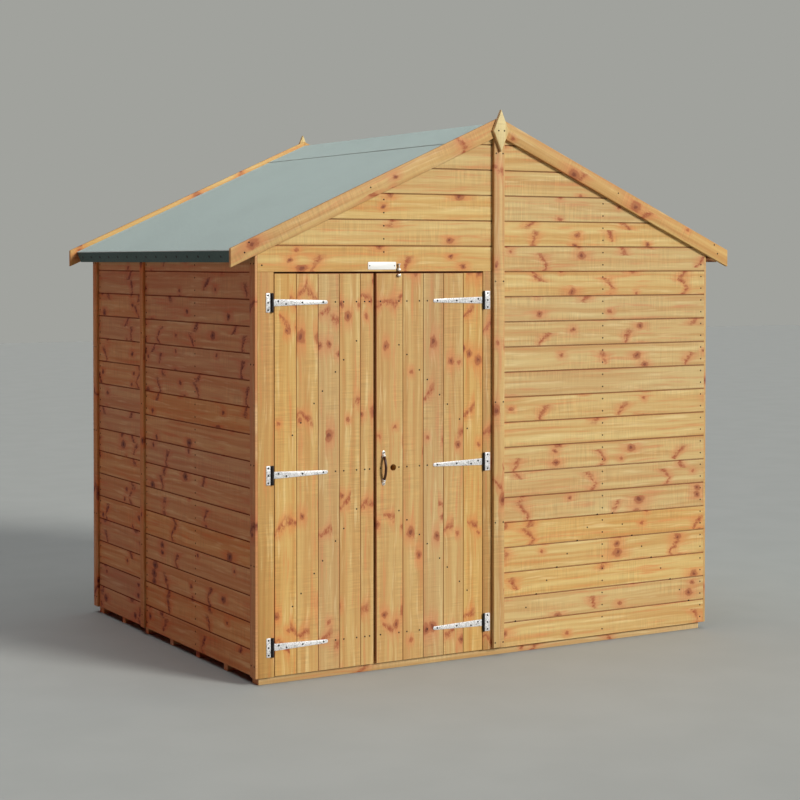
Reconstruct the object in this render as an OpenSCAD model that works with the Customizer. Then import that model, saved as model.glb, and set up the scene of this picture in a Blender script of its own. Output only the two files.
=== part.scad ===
// Apex garden shed: shiplap walls on a timber frame, double doors on
// T-hinges, felted roof. X runs along the door wall, -Y is the front, Z is up.
// The origin is the centre of the footprint, on the ground.

/* [Body] */
// Width over the faces of the side cladding
body_w = 2376; // [1980:1:2860]
// Depth over the faces of the gable cladding
body_d = 1882; // [1568:1:2260]
// Height of the wall cladding at the eaves
eaves_z = 1846; // [1538:1:2220]
// Thickness of the cladding boards
clad_t = 12; // [10:1:16]
// Height of the cladding's lower edge above the ground
clad_z = 32; // [24:1:40]
// Depth of the front panels of the side walls
front_panel_d = 1241; // [1030:1:1500]

/* [Base] */
// Number of bearers
bearer_count = 7; // [5:1:9]
// Width of the inner bearers
bearer_w = 38; // [32:1:50]
// Width of the first and the last bearer
end_bearer_w = 60; // [50:1:75]
// Height of the bearers
bearer_h = 44; // [38:1:54]
// Thickness of the floor boards
floor_t = 12; // [10:1:15]
// Gap between the gable cladding and the base
base_gap = 9; // [7:0.5:11]

/* [Wall frames] */
// Depth of the side frames
side_frame_t = 28; // [24:1:34]
// Depth of the gable frames
gable_frame_t = 44; // [36:1:54]
// Width of a stud or a rail
stud_w = 38; // [32:1:45]
// Gap between the frames of two neighbouring panels
panel_gap = 2; // [1:0.5:3]
// Height of the rafters in the gable frames
rafter_h = 44; // [36:1:54]

/* [Roof] */
// Slope of the roof in degrees
pitch = 24; // [20:0.5:28]
// Thickness of the roofing felt
felt_t = 1.5; // [1:0.1:2]
// Thickness of the roof boards
roof_board_t = 12; // [10:1:15]
// Overhang of the roof beyond the side cladding
eaves_overhang = 97; // [80:1:117]
// Depth of the felted edge at the eaves
eaves_edge_h = 55; // [46:1:60]
// Depth of the roof battens
batten_h = 38; // [32:1:45]
// Width of the felt cap on each side of the ridge
ridge_cap_w = 235; // [195:1:282]

/* [Bargeboards and finials] */
// Upright height of a bargeboard
barge_h = 79; // [66:1:95]
// Thickness of a bargeboard
barge_t = 18; // [15:1:22]
// Rise of the bargeboards above the felt
barge_rise = 22; // [18:1:26]
// Reach of the bargeboards beyond the felt at the eaves
barge_reach = 33; // [27:1:40]
// Height of a finial
finial_h = 188; // [156:1:226]
// Width of a finial
finial_w = 82; // [68:1:98]
// Thickness of a finial
finial_t = 16; // [13:1:19]
// Rise of a finial's tip above the ridge
finial_rise = 57; // [47:1:68]

/* [Trims] */
// Width of the centre strip on each gable
centre_strip_w = 56; // [47:1:67]
// Thickness of the centre strips
centre_strip_t = 18; // [14:1:18]
// Height of the centre strips' lower end above the cladding's edge
centre_strip_lift = 7; // [5:1:9]
// Width of the strip over the joint of two side panels
side_strip_w = 44; // [36:1:53]
// Width of the corner trims
corner_trim_w = 53; // [44:1:64]
// Thickness of the side strips and the corner trims
trim_t = 12; // [10:1:15]

/* [Doors] */
// Drop from the eaves to the head of the doorway
head_drop = 119; // [100:1:142]
// Width of the post beside the left door
left_post_w = 75; // [62:1:90]
// Width of the post beside the right door
right_post_w = 75; // [68:1:90]
// Gap around the doors
door_gap = 6; // [5:0.5:8]
// Gap between the two doors
meeting_gap = 14; // [11.5:0.5:17]
// Width of the left door
left_door_w = 471; // [393:1:565]
// Height of the doors' lower edge above the cladding's edge
door_lift = 3; // [2:0.5:4]
// Height of a door ledge
ledge_h = 90; // [75:1:108]
// Thickness of the door ledges and braces
ledge_t = 28; // [22:1:34]
// Distance from a door's edge to the ends of its ledges
ledge_inset = 30; // [25:1:36]
// Upright height of a door brace
brace_h = 110; // [90:1:130]

/* [Hinges] */
// Distance from a door's top or bottom edge to the hinge's centre line
hinge_inset = 122; // [102:1:146]
// Length of a hinge strap beyond the pin
strap_l = 262; // [218:1:300]
// Height of a strap at its root
strap_h = 30; // [26:1:36]
// Height of a strap at its tip
strap_tip_h = 16; // [13:1:19]
// Thickness of the hinge leaves
leaf_t = 3; // [2:0.5:3.5]
// Height of the fixed leaf
plate_h = 81; // [68:1:96]
// Radius of the hinge knuckle
knuckle_r = 5; // [4.5:0.1:5.5]
// Radius of the hinge pin
pin_r = 2.5; // [2:0.1:3]
// Running clearance of the pin
pin_clear = 0.1; // [0.05:0.01:0.1]
// Distance from the left pin to the left door's edge
left_pin_off = 15; // [13:0.5:16]
// Distance from the right pin to the right door's edge
right_pin_off = 7; // [6:0.5:8]
// Width of a left fixed leaf
left_plate_w = 20; // [16:1:24]
// Width of a right fixed leaf
right_plate_w = 27; // [22:1:32]

/* [Handle and lock] */
// Distance from the right door's free edge to the handle
handle_off = 35; // [29:1:42]
// Height of the handle's centre below the middle hinge's centre line
handle_drop = 0; // [-20:1:20]
// Distance between the handle's feet
handle_span = 118; // [98:1:142]
// Height of the bow's centre line above the door
handle_rise = 24; // [20:1:26]
// Radius of the bow's rod
handle_rod_r = 4.5; // [3.5:0.1:5.5]
// Width of the plate under each end of the handle
handle_foot_w = 15; // [12.5:0.5:18]
// Height of the plate under each end of the handle
handle_foot_h = 32; // [27:1:38]
// Thickness of a handle foot
handle_foot_t = 3; // [2:0.5:4]
// Distance from the right door's free edge to the lock hole
lock_off = 84; // [70:1:101]
// Radius of the lock hole
lock_r = 14.5; // [12:0.5:17]

/* [Top bolt and name plate] */
// Distance from the right door's free edge to the bolt
bolt_off = 110; // [92:1:132]
// Width of the bolt's plates
bolt_plate_w = 17; // [14:1:20]
// Thickness of the bolt's plates
bolt_plate_t = 2; // [1.5:0.1:2.5]
// Height of the bolt's barrel
bolt_barrel_h = 12; // [10:1:14]
// Length of the sliding rod
bolt_rod_l = 32; // [30:1:38]
// Height of the knob on the sliding rod
bolt_knob_h = 3; // [2:0.5:4]
// Height of the keep on the door
bolt_keep_h = 13; // [11:1:15]
// Width of the barrel and of the keep's loop
bolt_loop_w = 11; // [10:0.5:12]
// Radius of the sliding rod
bolt_rod_r = 2.8; // [2.4:0.1:3.1]
// Clearance around the sliding rod
bolt_clear = 0.8; // [0.5:0.1:1.0]
// Width of the name plate
name_plate_w = 139; // [116:1:166]
// Height of the name plate
name_plate_h = 33; // [27:1:38]
// Thickness of the name plate
name_plate_t = 2; // [1.5:0.1:3]

/* [Hidden] */
$fn = 48;

// Faces of the walls and their frames
side_x = body_w / 2;
side_in_x = side_x - clad_t;
side_frame_x = side_in_x - side_frame_t;
gable_y = body_d / 2;
gable_in_y = gable_y - clad_t;
gable_frame_y = gable_in_y - gable_frame_t;
panel_y = front_panel_d - gable_y;

// Base
base_y = gable_in_y - base_gap;
end_bearer_y = base_y - end_bearer_w / 2;
bearer_pitch = 2 * end_bearer_y / (bearer_count - 1);
floor_z = bearer_h + floor_t;
frame_z = floor_z + stud_w;

// Roof: depths are measured square to the slope, down from the felt's surface
roof_t = felt_t + roof_board_t;
// Gap that keeps faces that meet under the sloping roof from overlapping
seat_gap = 0.03;
// Depth below the felt's surface at which the roof boards rest on what carries them
seat_t = roof_t + seat_gap;
ridge_z = eaves_z + roof_t / cos(pitch) + side_x * tan(pitch);
eaves_len = (side_x + eaves_overhang) / cos(pitch);
function under(x, depth) = ridge_z - depth / cos(pitch) - abs(x) * tan(pitch);
function on_slope(run, depth) = [
    run * cos(pitch) - depth * sin(pitch),
    ridge_z - run * sin(pitch) - depth * cos(pitch)
];

// Doorway and doors
head_z = eaves_z - head_drop;
post_left_x = -side_x + left_post_w;
post_right_x = -right_post_w;
left_door_x0 = post_left_x + door_gap;
left_door_x1 = left_door_x0 + left_door_w;
right_door_x0 = left_door_x1 + meeting_gap;
right_door_x1 = post_right_x - door_gap;
door_z0 = clad_z + door_lift;
door_z1 = head_z - door_gap;
hinge_zs = [door_z0 + hinge_inset, (door_z0 + door_z1) / 2, door_z1 - hinge_inset];

// Hinges
left_pin_x = left_door_x0 - left_pin_off;
right_pin_x = right_door_x1 + right_pin_off;
pin_y = -gable_y - knuckle_r - 1;
knuckle_h = plate_h / 3;
knuckle_gap = 0.5;
leaf_gap = 8;

// Handle, lock and bolt
handle_x = right_door_x0 + handle_off;
handle_z = hinge_zs[1] - handle_drop;
bow_r = (pow(handle_span / 2, 2) + pow(handle_rise, 2)) / (2 * handle_rise);
bow_angle = 2 * asin(handle_span / 2 / bow_r);
lock_x = right_door_x0 + lock_off;
lock_z = hinge_zs[1];
bolt_x = right_door_x0 + bolt_off;
bolt_z = head_z + 3;
bolt_y = -gable_y - bolt_plate_t - bolt_loop_w / 2;
bolt_keep_z1 = door_z1 - 3;
name_plate_x = (left_door_x1 + right_door_x0) / 2 + name_plate_w / 4;
name_plate_z = head_z + 9;

// Centre lines of the studs in the side frames and in a gable panel
side_stud_ys = [
    -gable_frame_y + stud_w / 2,
    (panel_y - gable_frame_y) / 2,
    panel_y - (stud_w + panel_gap) / 2,
    panel_y + (stud_w + panel_gap) / 2,
    gable_frame_y - stud_w / 2
];
gable_stud_xs = [
    (stud_w + panel_gap) / 2,
    side_in_x / 2,
    side_in_x - stud_w / 2
];
side_top_z = eaves_z - stud_w;

module box(x0, x1, y0, y1, z0, z1) {
    translate([x0, y0, z0]) cube([x1 - x0, y1 - y0, z1 - z0]);
}

// Extrudes an outline drawn in X and Z from y0 to y1
module along_y(y0, y1) {
    translate([0, y1, 0]) rotate([90, 0, 0]) linear_extrude(height = y1 - y0) children();
}

module both_sides() {
    for (side = [0, 1]) mirror([side, 0, 0]) children();
}

module both_ends() {
    for (end = [0, 1]) mirror([0, end, 0]) children();
}

// Upright piece between x0 and x1 whose top follows the roof at a depth
module under_roof(x0, x1, z0, depth, y0, y1) {
    along_y(y0, y1) polygon([
        [x0, z0], [x1, z0], [x1, under(x1, depth)], [x0, under(x0, depth)]
    ]);
}

// Piece of the roof between two runs down the slope and two depths
module on_roof(run0, run1, depth0, depth1, y0, y1) {
    along_y(y0, y1) polygon([
        on_slope(run0, depth0), on_slope(run1, depth0),
        on_slope(run1, depth1), on_slope(run0, depth1)
    ]);
}

// Base
module bearers() {
    color("burlywood")
    for (i = [0 : bearer_count - 1]) {
        w = (i == 0 || i == bearer_count - 1) ? end_bearer_w : bearer_w;
        y = -end_bearer_y + i * bearer_pitch;
        box(-side_in_x, side_in_x, y - w / 2, y + w / 2, 0, bearer_h);
    }
}

module floor_boards() {
    color("burlywood") box(-side_in_x, side_in_x, -base_y, base_y, bearer_h, floor_z);
}

// Gable walls
module front_wall_right() {
    color("sandybrown")
    under_roof(0, side_x, clad_z, seat_t, -gable_y, -gable_in_y);
}

module front_wall_over_door() {
    color("sandybrown")
    under_roof(-side_x, 0, head_z, seat_t, -gable_y, -gable_in_y);
}

module door_post_left() {
    color("peru") box(-side_x, post_left_x, -gable_y, -gable_in_y, clad_z, head_z);
}

module door_post_right() {
    color("peru") box(post_right_x, 0, -gable_y, -gable_in_y, clad_z, head_z);
}

module rear_wall_right() {
    color("sandybrown")
    under_roof(0, side_x, clad_z, seat_t, gable_in_y, gable_y);
}

module rear_wall_left() {
    mirror([1, 0, 0]) rear_wall_right();
}

// Side walls
module right_wall_front() {
    color("chocolate")
    under_roof(side_in_x, side_x, clad_z, seat_t, -gable_in_y, panel_y);
}

module right_wall_rear() {
    color("chocolate")
    under_roof(side_in_x, side_x, clad_z, seat_t, panel_y, gable_in_y);
}

module left_wall_front() {
    mirror([1, 0, 0]) right_wall_front();
}

module left_wall_rear() {
    mirror([1, 0, 0]) right_wall_rear();
}

// Trims
module gable_cover_strips() {
    barge_foot = barge_rise - barge_h;
    half_w = centre_strip_w / 2;
    color("burlywood")
    both_ends()
    along_y(-gable_y - centre_strip_t, -gable_y) polygon([
        [-half_w, clad_z + centre_strip_lift],
        [half_w, clad_z + centre_strip_lift],
        [half_w, under(half_w, 0) + barge_foot],
        [0, under(0, 0) + barge_foot],
        [-half_w, under(half_w, 0) + barge_foot]
    ]);
}

module side_cover_strips() {
    color("burlywood")
    both_sides()
    under_roof(side_x, side_x + trim_t, clad_z, seat_t,
               panel_y - side_strip_w / 2, panel_y + side_strip_w / 2);
}

module corner_trims() {
    color("burlywood")
    both_sides() both_ends()
    under_roof(side_x, side_x + trim_t, clad_z, seat_t, -gable_y, -gable_y + corner_trim_w);
}

// Wall frames
module side_studs() {
    color("tan")
    both_sides()
    for (y = side_stud_ys)
        box(side_frame_x, side_in_x, y - stud_w / 2, y + stud_w / 2, frame_z, side_top_z);
}

module side_rails() {
    middle_z = (frame_z + side_top_z - stud_w) / 2;
    color("tan")
    both_sides() {
        for (z = [floor_z, side_top_z])
            box(side_frame_x, side_in_x, -gable_frame_y, gable_frame_y, z, z + stud_w);
        for (i = [0, 1, 3])
            box(side_frame_x, side_in_x, side_stud_ys[i] + stud_w / 2,
                side_stud_ys[i + 1] - stud_w / 2, middle_z, middle_z + stud_w);
    }
}

module gable_stud(x, z0) {
    under_roof(x - stud_w / 2, x + stud_w / 2, z0, seat_t + rafter_h + seat_gap, gable_frame_y, gable_in_y);
}

module gable_studs() {
    depth = seat_t + rafter_h + seat_gap;
    color("tan") {
        for (x = gable_stud_xs) {
            both_sides() gable_stud(x, frame_z);
            mirror([0, 1, 0]) gable_stud(x, frame_z);
        }
        // jambs of the doorway and the stud above it
        under_roof(-side_in_x, post_left_x, floor_z, depth, -gable_in_y, -gable_frame_y);
        under_roof(post_right_x, -panel_gap / 2, floor_z, depth, -gable_in_y, -gable_frame_y);
        mirror([1, 0, 0]) mirror([0, 1, 0]) gable_stud(gable_stud_xs[1], head_z + stud_w);
    }
}

// Rails between the studs of a right-hand rear panel
module gable_panel_rails() {
    middle_z = (frame_z + side_top_z - stud_w) / 2;
    box(panel_gap / 2, side_in_x, gable_frame_y, gable_in_y, floor_z, frame_z);
    for (z = [middle_z, head_z], i = [0, 1])
        box(gable_stud_xs[i] + stud_w / 2, gable_stud_xs[i + 1] - stud_w / 2,
            gable_frame_y, gable_in_y, z, z + stud_w);
}

module gable_rails() {
    color("tan") {
        both_sides() gable_panel_rails();
        mirror([0, 1, 0]) gable_panel_rails();
        // lintel over the doorway
        box(post_left_x, post_right_x, -gable_in_y, -gable_frame_y, head_z, head_z + stud_w);
    }
}

module rafters() {
    color("tan")
    both_ends() both_sides()
    along_y(gable_frame_y, gable_in_y) polygon([
        for (x = [panel_gap / 2, side_in_x]) [x, under(x, seat_t)],
        for (x = [side_in_x, panel_gap / 2]) [x, under(x, seat_t + rafter_h)]
    ]);
}

// Roof
module roof_boards_right() {
    board_len = eaves_len - felt_t;
    color("wheat")
    along_y(-gable_y, gable_y) polygon([
        [0, under(0, felt_t)], on_slope(board_len, felt_t),
        on_slope(board_len, roof_t), [0, under(0, roof_t)]
    ]);
}

module roof_boards_left() {
    mirror([1, 0, 0]) roof_boards_right();
}

module roof_battens() {
    ridge_run = 40;
    middle_run = side_in_x / 2 / cos(pitch);
    wall_run = side_frame_x / cos(pitch) - stud_w;
    foot = seat_t + batten_h;
    color("tan")
    both_sides() {
        for (run = [ridge_run, middle_run, wall_run - stud_w])
            on_roof(run, run + stud_w, seat_t, foot, -gable_frame_y, gable_frame_y);
        on_roof(eaves_len - felt_t - stud_w, eaves_len - felt_t - seat_gap, seat_t, eaves_edge_h - felt_t,
                -gable_y, gable_y);
    }
}

module felt_right() {
    inner_len = eaves_len - felt_t;
    color("lightslategray")
    along_y(-gable_y, gable_y) polygon([
        [0, under(0, 0)], on_slope(eaves_len, 0), on_slope(eaves_len, eaves_edge_h),
        on_slope(inner_len, eaves_edge_h), on_slope(inner_len, felt_t), [0, under(0, felt_t)]
    ]);
}

module felt_left() {
    mirror([1, 0, 0]) felt_right();
}

module ridge_felt() {
    lift = felt_t + seat_gap;
    top = on_slope(ridge_cap_w, -lift);
    foot = on_slope(ridge_cap_w, -seat_gap);
    color("lightslategray")
    along_y(-gable_y, gable_y) polygon([
        [0, under(0, -lift)], top, foot, [0, under(0, -seat_gap)], [-foot[0], foot[1]], [-top[0], top[1]]
    ]);
}

// Bargeboards and finials
module bargeboard_rear_right() {
    end_x = side_x + eaves_overhang + barge_reach;
    color("sandybrown")
    along_y(gable_y, gable_y + barge_t) polygon([
        [0, under(0, 0) + barge_rise], [end_x, under(end_x, 0) + barge_rise],
        [end_x, under(end_x, 0) + barge_rise - barge_h], [0, under(0, 0) + barge_rise - barge_h]
    ]);
}

module bargeboard_rear_left() {
    mirror([1, 0, 0]) bargeboard_rear_right();
}

module bargeboard_front_right() {
    mirror([0, 1, 0]) bargeboard_rear_right();
}

module bargeboard_front_left() {
    mirror([0, 1, 0]) bargeboard_rear_left();
}

module finials() {
    tip_z = ridge_z + finial_rise;
    color("burlywood")
    both_ends()
    along_y(gable_y + barge_t, gable_y + barge_t + finial_t) polygon([
        [0, tip_z], [finial_w / 2, tip_z - finial_h / 2],
        [0, tip_z - finial_h], [-finial_w / 2, tip_z - finial_h / 2]
    ]);
}

// Fixed leaf of a T-hinge, with its pin on the Z axis and the leaf towards -X
module hinge_plate(leaf_w) {
    leaf_y = -gable_y - pin_y;
    box(-leaf_gap - leaf_w, 0, leaf_y - leaf_t, leaf_y, -plate_h / 2, -knuckle_h / 2 - knuckle_gap);
    box(-leaf_gap - leaf_w, 0, leaf_y - leaf_t, leaf_y, knuckle_h / 2 + knuckle_gap, plate_h / 2);
    box(-leaf_gap - leaf_w, -leaf_gap, leaf_y - leaf_t, leaf_y, -plate_h / 2, plate_h / 2);
    for (z = [-plate_h / 2, knuckle_h / 2 + knuckle_gap])
        translate([0, 0, z]) cylinder(r = knuckle_r, h = knuckle_h - knuckle_gap);
    translate([0, 0, -plate_h / 2]) cylinder(r = pin_r, h = plate_h);
}

module hinge_plates() {
    color("silver")
    for (z = hinge_zs) {
        translate([left_pin_x, pin_y, z]) hinge_plate(left_plate_w);
        translate([right_pin_x, pin_y, z]) mirror([1, 0, 0]) hinge_plate(right_plate_w);
    }
}

// Strap of a T-hinge, with its pin on the Z axis and the strap towards +X
module hinge_strap() {
    leaf_y = -gable_y - pin_y;
    tip_r = strap_tip_h / 2;
    neck_h = knuckle_h / 2 - knuckle_gap;
    difference() {
        union() {
            translate([0, 0, -neck_h]) cylinder(r = knuckle_r, h = 2 * neck_h);
            box(0, leaf_gap + 1, leaf_y - leaf_t, leaf_y, -neck_h, neck_h);
            along_y(leaf_y - leaf_t, leaf_y) {
                polygon([
                    [leaf_gap, -strap_h / 2], [strap_l - tip_r, -tip_r],
                    [strap_l - tip_r, tip_r], [leaf_gap, strap_h / 2]
                ]);
                translate([strap_l - tip_r, 0]) circle(r = tip_r);
            }
        }
        translate([0, 0, -plate_h]) cylinder(r = pin_r + pin_clear, h = 2 * plate_h);
    }
}

module left_door_straps() {
    color("silver") for (z = hinge_zs) translate([left_pin_x, pin_y, z]) hinge_strap();
}

module right_door_straps() {
    color("silver")
    for (z = hinge_zs) translate([right_pin_x, pin_y, z]) mirror([1, 0, 0]) hinge_strap();
}

module lock_hole() {
    translate([lock_x, 0, lock_z]) rotate([90, 0, 0]) cylinder(r = lock_r, h = 2 * gable_y);
}

// Doors
module left_door_boards() {
    color("goldenrod")
    box(left_door_x0, left_door_x1, -gable_y, -gable_in_y, door_z0, door_z1);
}

module right_door_boards() {
    color("goldenrod")
    difference() {
        box(right_door_x0, right_door_x1, -gable_y, -gable_in_y, door_z0, door_z1);
        lock_hole();
    }
}

module ledges(x0, x1) {
    for (z = hinge_zs)
        box(x0 + ledge_inset, x1 - ledge_inset, -gable_in_y, -gable_in_y + ledge_t,
            z - ledge_h / 2, z + ledge_h / 2);
}

module left_door_ledges() {
    color("peru") ledges(left_door_x0, left_door_x1);
}

module right_door_ledges() {
    color("peru")
    difference() {
        ledges(right_door_x0, right_door_x1);
        lock_hole();
    }
}

// Braces that rise from the hinge side to the free side of a door
module braces(hinge_x, free_x) {
    inset = hinge_x < free_x ? ledge_inset : -ledge_inset;
    for (i = [0, 1]) {
        z0 = hinge_zs[i] + ledge_h / 2;
        z1 = hinge_zs[i + 1] - ledge_h / 2;
        along_y(-gable_in_y, -gable_in_y + ledge_t) polygon([
            [hinge_x + inset, z0], [free_x - inset, z1 - brace_h],
            [free_x - inset, z1], [hinge_x + inset, z0 + brace_h]
        ]);
    }
}

module left_door_braces() {
    color("peru") braces(left_door_x0, left_door_x1);
}

module right_door_braces() {
    color("peru") braces(right_door_x1, right_door_x0);
}

// Plate with round ends under one end of the handle
module handle_foot() {
    end_z = (handle_foot_h - handle_foot_w) / 2;
    box(-handle_foot_w / 2, handle_foot_w / 2, -handle_foot_t, 0, -end_z, end_z);
    for (z = [-end_z, end_z])
        translate([0, 0, z]) rotate([90, 0, 0]) cylinder(d = handle_foot_w, h = handle_foot_t);
}

// Bow handle on its two plates
module door_handle() {
    color("dimgray")
    translate([handle_x, -gable_y, handle_z]) {
        for (z = [-handle_span / 2, handle_span / 2])
            translate([0, 0, z]) handle_foot();
        difference() {
            translate([0, bow_r - handle_rise, 0]) rotate([0, 90, 0])
            rotate([0, 0, -90 - bow_angle / 2])
            rotate_extrude(angle = bow_angle) translate([bow_r, 0]) circle(r = handle_rod_r);
            box(-handle_foot_w, handle_foot_w, 0, bow_r, -handle_span, handle_span);
        }
    }
}

// Top bolt: a barrel above the doorway, a rod that drops, and a keep on the door
module bolt_loop(z0, z1) {
    reach = bolt_rod_r + bolt_clear;
    difference() {
        union() {
            box(bolt_x - bolt_plate_w / 2, bolt_x + bolt_plate_w / 2,
                -gable_y - bolt_plate_t, -gable_y, z0, z1);
            box(bolt_x - bolt_loop_w / 2, bolt_x + bolt_loop_w / 2,
                bolt_y - bolt_loop_w / 2, -gable_y, z0, z1);
        }
        box(bolt_x - reach, bolt_x + reach, bolt_y - reach, bolt_y + reach, z0 - 1, z1 + 1);
    }
}

module bolt_body() {
    color("silver") bolt_loop(bolt_z, bolt_z + bolt_barrel_h);
}

module bolt_keep() {
    color("silver") bolt_loop(bolt_keep_z1 - bolt_keep_h, bolt_keep_z1);
}

module bolt_shoot() {
    color("gainsboro")
    translate([bolt_x, bolt_y, bolt_z]) {
        cylinder(r = bolt_rod_r, h = bolt_rod_l);
        translate([0, 0, bolt_rod_l - bolt_knob_h]) cylinder(r = bolt_loop_w / 2, h = bolt_knob_h);
    }
}

module name_plate() {
    color("white")
    box(name_plate_x - name_plate_w / 2, name_plate_x + name_plate_w / 2,
        -gable_y - name_plate_t, -gable_y, name_plate_z, name_plate_z + name_plate_h);
}

bearers();
floor_boards();
front_wall_right();
front_wall_over_door();
door_post_left();
door_post_right();
rear_wall_left();
rear_wall_right();
left_wall_front();
left_wall_rear();
right_wall_front();
right_wall_rear();
gable_cover_strips();
side_cover_strips();
corner_trims();
side_studs();
side_rails();
gable_studs();
gable_rails();
rafters();
roof_boards_left();
roof_boards_right();
roof_battens();
felt_left();
felt_right();
ridge_felt();
bargeboard_front_left();
bargeboard_front_right();
bargeboard_rear_left();
bargeboard_rear_right();
finials();
hinge_plates();
name_plate();
bolt_body();
bolt_shoot();
left_door_boards();
left_door_ledges();
left_door_braces();
left_door_straps();
right_door_boards();
right_door_ledges();
right_door_braces();
right_door_straps();
door_handle();
bolt_keep();
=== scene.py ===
"""Looks of an apex garden shed: shiplap walls, boarded doors, felted roof, hinges and fittings.

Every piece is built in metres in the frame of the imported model: X runs along the door wall,
-Y is the front and Z is up. Places come from the model's own boxes.
"""

from __future__ import annotations

import logging
import math
import random
from contextlib import contextmanager
from dataclasses import dataclass, field
from enum import Enum
from typing import Callable, Iterator, Sequence

import bmesh
import bpy
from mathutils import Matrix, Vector

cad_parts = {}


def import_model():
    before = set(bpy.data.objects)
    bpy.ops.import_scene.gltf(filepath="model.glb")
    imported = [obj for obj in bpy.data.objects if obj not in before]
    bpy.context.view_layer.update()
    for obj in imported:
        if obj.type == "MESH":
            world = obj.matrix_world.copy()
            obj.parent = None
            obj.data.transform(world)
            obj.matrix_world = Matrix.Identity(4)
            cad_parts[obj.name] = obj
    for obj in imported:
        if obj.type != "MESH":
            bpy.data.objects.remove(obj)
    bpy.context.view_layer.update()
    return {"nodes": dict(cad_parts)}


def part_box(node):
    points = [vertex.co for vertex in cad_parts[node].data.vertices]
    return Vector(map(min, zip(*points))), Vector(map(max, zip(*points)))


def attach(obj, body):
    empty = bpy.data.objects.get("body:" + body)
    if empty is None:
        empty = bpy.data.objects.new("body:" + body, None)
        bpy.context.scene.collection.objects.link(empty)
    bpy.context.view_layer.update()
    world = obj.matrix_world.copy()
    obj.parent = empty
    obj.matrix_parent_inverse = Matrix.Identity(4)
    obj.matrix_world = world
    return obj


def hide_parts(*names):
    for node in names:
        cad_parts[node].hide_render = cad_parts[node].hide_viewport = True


LOG = logging.getLogger("shed")
TOUCH = 1e-4  # points this close count as on a line
WHISKER_ROW = 0.113  # gap across the grain between rows of whiskers
ROOF_PITCH = 24.0  # degrees
BOARD_GAP = 0.0008  # between floor boards and between roof boards
Colour = tuple[float, float, float, float]


class Grain(Enum):
    """Where a timber finish takes its grain from."""

    PAINTED = "painted"
    ALONG_X = "x"
    ALONG_Y = "y"
    ALONG_Z = "z"


class Body(Enum):
    """The moving bodies of the model."""

    SHED = "shed"
    LEFT_DOOR = "left_door"
    RIGHT_DOOR = "right_door"
    BOLT = "bolt"


# ---------------------------------------------------------------- modelling


def deselect_all() -> None:
    """Leaves nothing selected and nothing active."""
    bpy.ops.object.select_all(action="DESELECT")
    bpy.context.view_layer.objects.active = None


def activate(obj: bpy.types.Object) -> None:
    """Makes one object the only selected and active one.

    Args:
        obj: The object to work on.
    """
    deselect_all()
    obj.select_set(True)
    bpy.context.view_layer.objects.active = obj


@contextmanager
def edit_mode(obj: bpy.types.Object, select_all: bool = False) -> Iterator[bmesh.types.BMesh]:
    """Opens an object in edit mode, with all or nothing selected.

    Args:
        obj: The mesh object to edit.
        select_all: True to begin with everything selected.

    Yields:
        The edit mesh, for selecting faces and edges by place.
    """
    activate(obj)
    bpy.ops.object.mode_set(mode="EDIT")
    bpy.ops.mesh.select_mode(type="VERT")
    bpy.ops.mesh.select_all(action="SELECT" if select_all else "DESELECT")
    try:
        yield bmesh.from_edit_mesh(obj.data)
    finally:
        bpy.ops.object.mode_set(mode="OBJECT")


def select_points(obj: bpy.types.Object, mesh: bmesh.types.BMesh,
                  test: Callable[[Vector], bool]) -> None:
    """Selects the points that pass a test, and the edges and faces between them.

    Args:
        obj: The object in edit mode.
        mesh: Its edit mesh.
        test: Says whether a point at a place is wanted.
    """
    for vert in mesh.verts:
        vert.select = test(vert.co)
    mesh.select_flush_mode()
    bmesh.update_edit_mesh(obj.data)


def apply_place(obj: bpy.types.Object) -> None:
    """Moves the active object's place, turn and size into its mesh."""
    activate(obj)
    bpy.ops.object.transform_apply(location=True, rotation=True, scale=True)


def shade(obj: bpy.types.Object, angle: float) -> None:
    """Shades an object smooth, but for edges sharper than an angle in degrees."""
    activate(obj)
    bpy.ops.object.shade_smooth_by_angle(angle=math.radians(angle))


def add_box(name: str, low: Sequence[float], high: Sequence[float]) -> bpy.types.Object:
    """Adds a box between two corners.

    Args:
        name: The piece's name.
        low: Its lowest corner.
        high: Its highest corner.

    Returns:
        The new object, with its place in its mesh.
    """
    low, high = Vector(low), Vector(high)
    deselect_all()
    bpy.ops.mesh.primitive_cube_add(size=1, location=(low + high) / 2, scale=high - low)
    obj = bpy.context.active_object
    obj.name = name
    apply_place(obj)
    return obj


def add_rod(name: str, start: Sequence[float], axis: Sequence[float], radius: float,
            length: float, sides: int = 24) -> bpy.types.Object:
    """Adds a round rod.

    Args:
        name: The piece's name.
        start: The centre of its first end.
        axis: The unit direction in which it runs.
        radius: Its radius.
        length: Its length.
        sides: How many sides it has.

    Returns:
        The new object, with its place in its mesh.
    """
    direction = Vector(axis).normalized()
    deselect_all()
    bpy.ops.mesh.primitive_cylinder_add(
        vertices=sides, radius=radius, depth=length,
        location=Vector(start) + direction * (length / 2),
        rotation=direction.to_track_quat("Z", "Y").to_euler())
    obj = bpy.context.active_object
    obj.name = name
    apply_place(obj)
    return obj


def bevel_points(obj: bpy.types.Object, test: Callable[[Vector], bool], width: float,
                 segments: int = 2, profile: float = 0.5) -> None:
    """Bevels the edges whose points all pass a test.

    Args:
        obj: The object to bevel.
        test: Says whether a point belongs to a wanted edge.
        width: The bevel's width.
        segments: Its number of segments.
        profile: Its profile, below a quarter for a hollow one.
    """
    with edit_mode(obj) as mesh:
        select_points(obj, mesh, test)
        bpy.ops.mesh.bevel(offset=width, segments=segments, profile=profile,
                           affect="EDGES", clamp_overlap=True)


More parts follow.
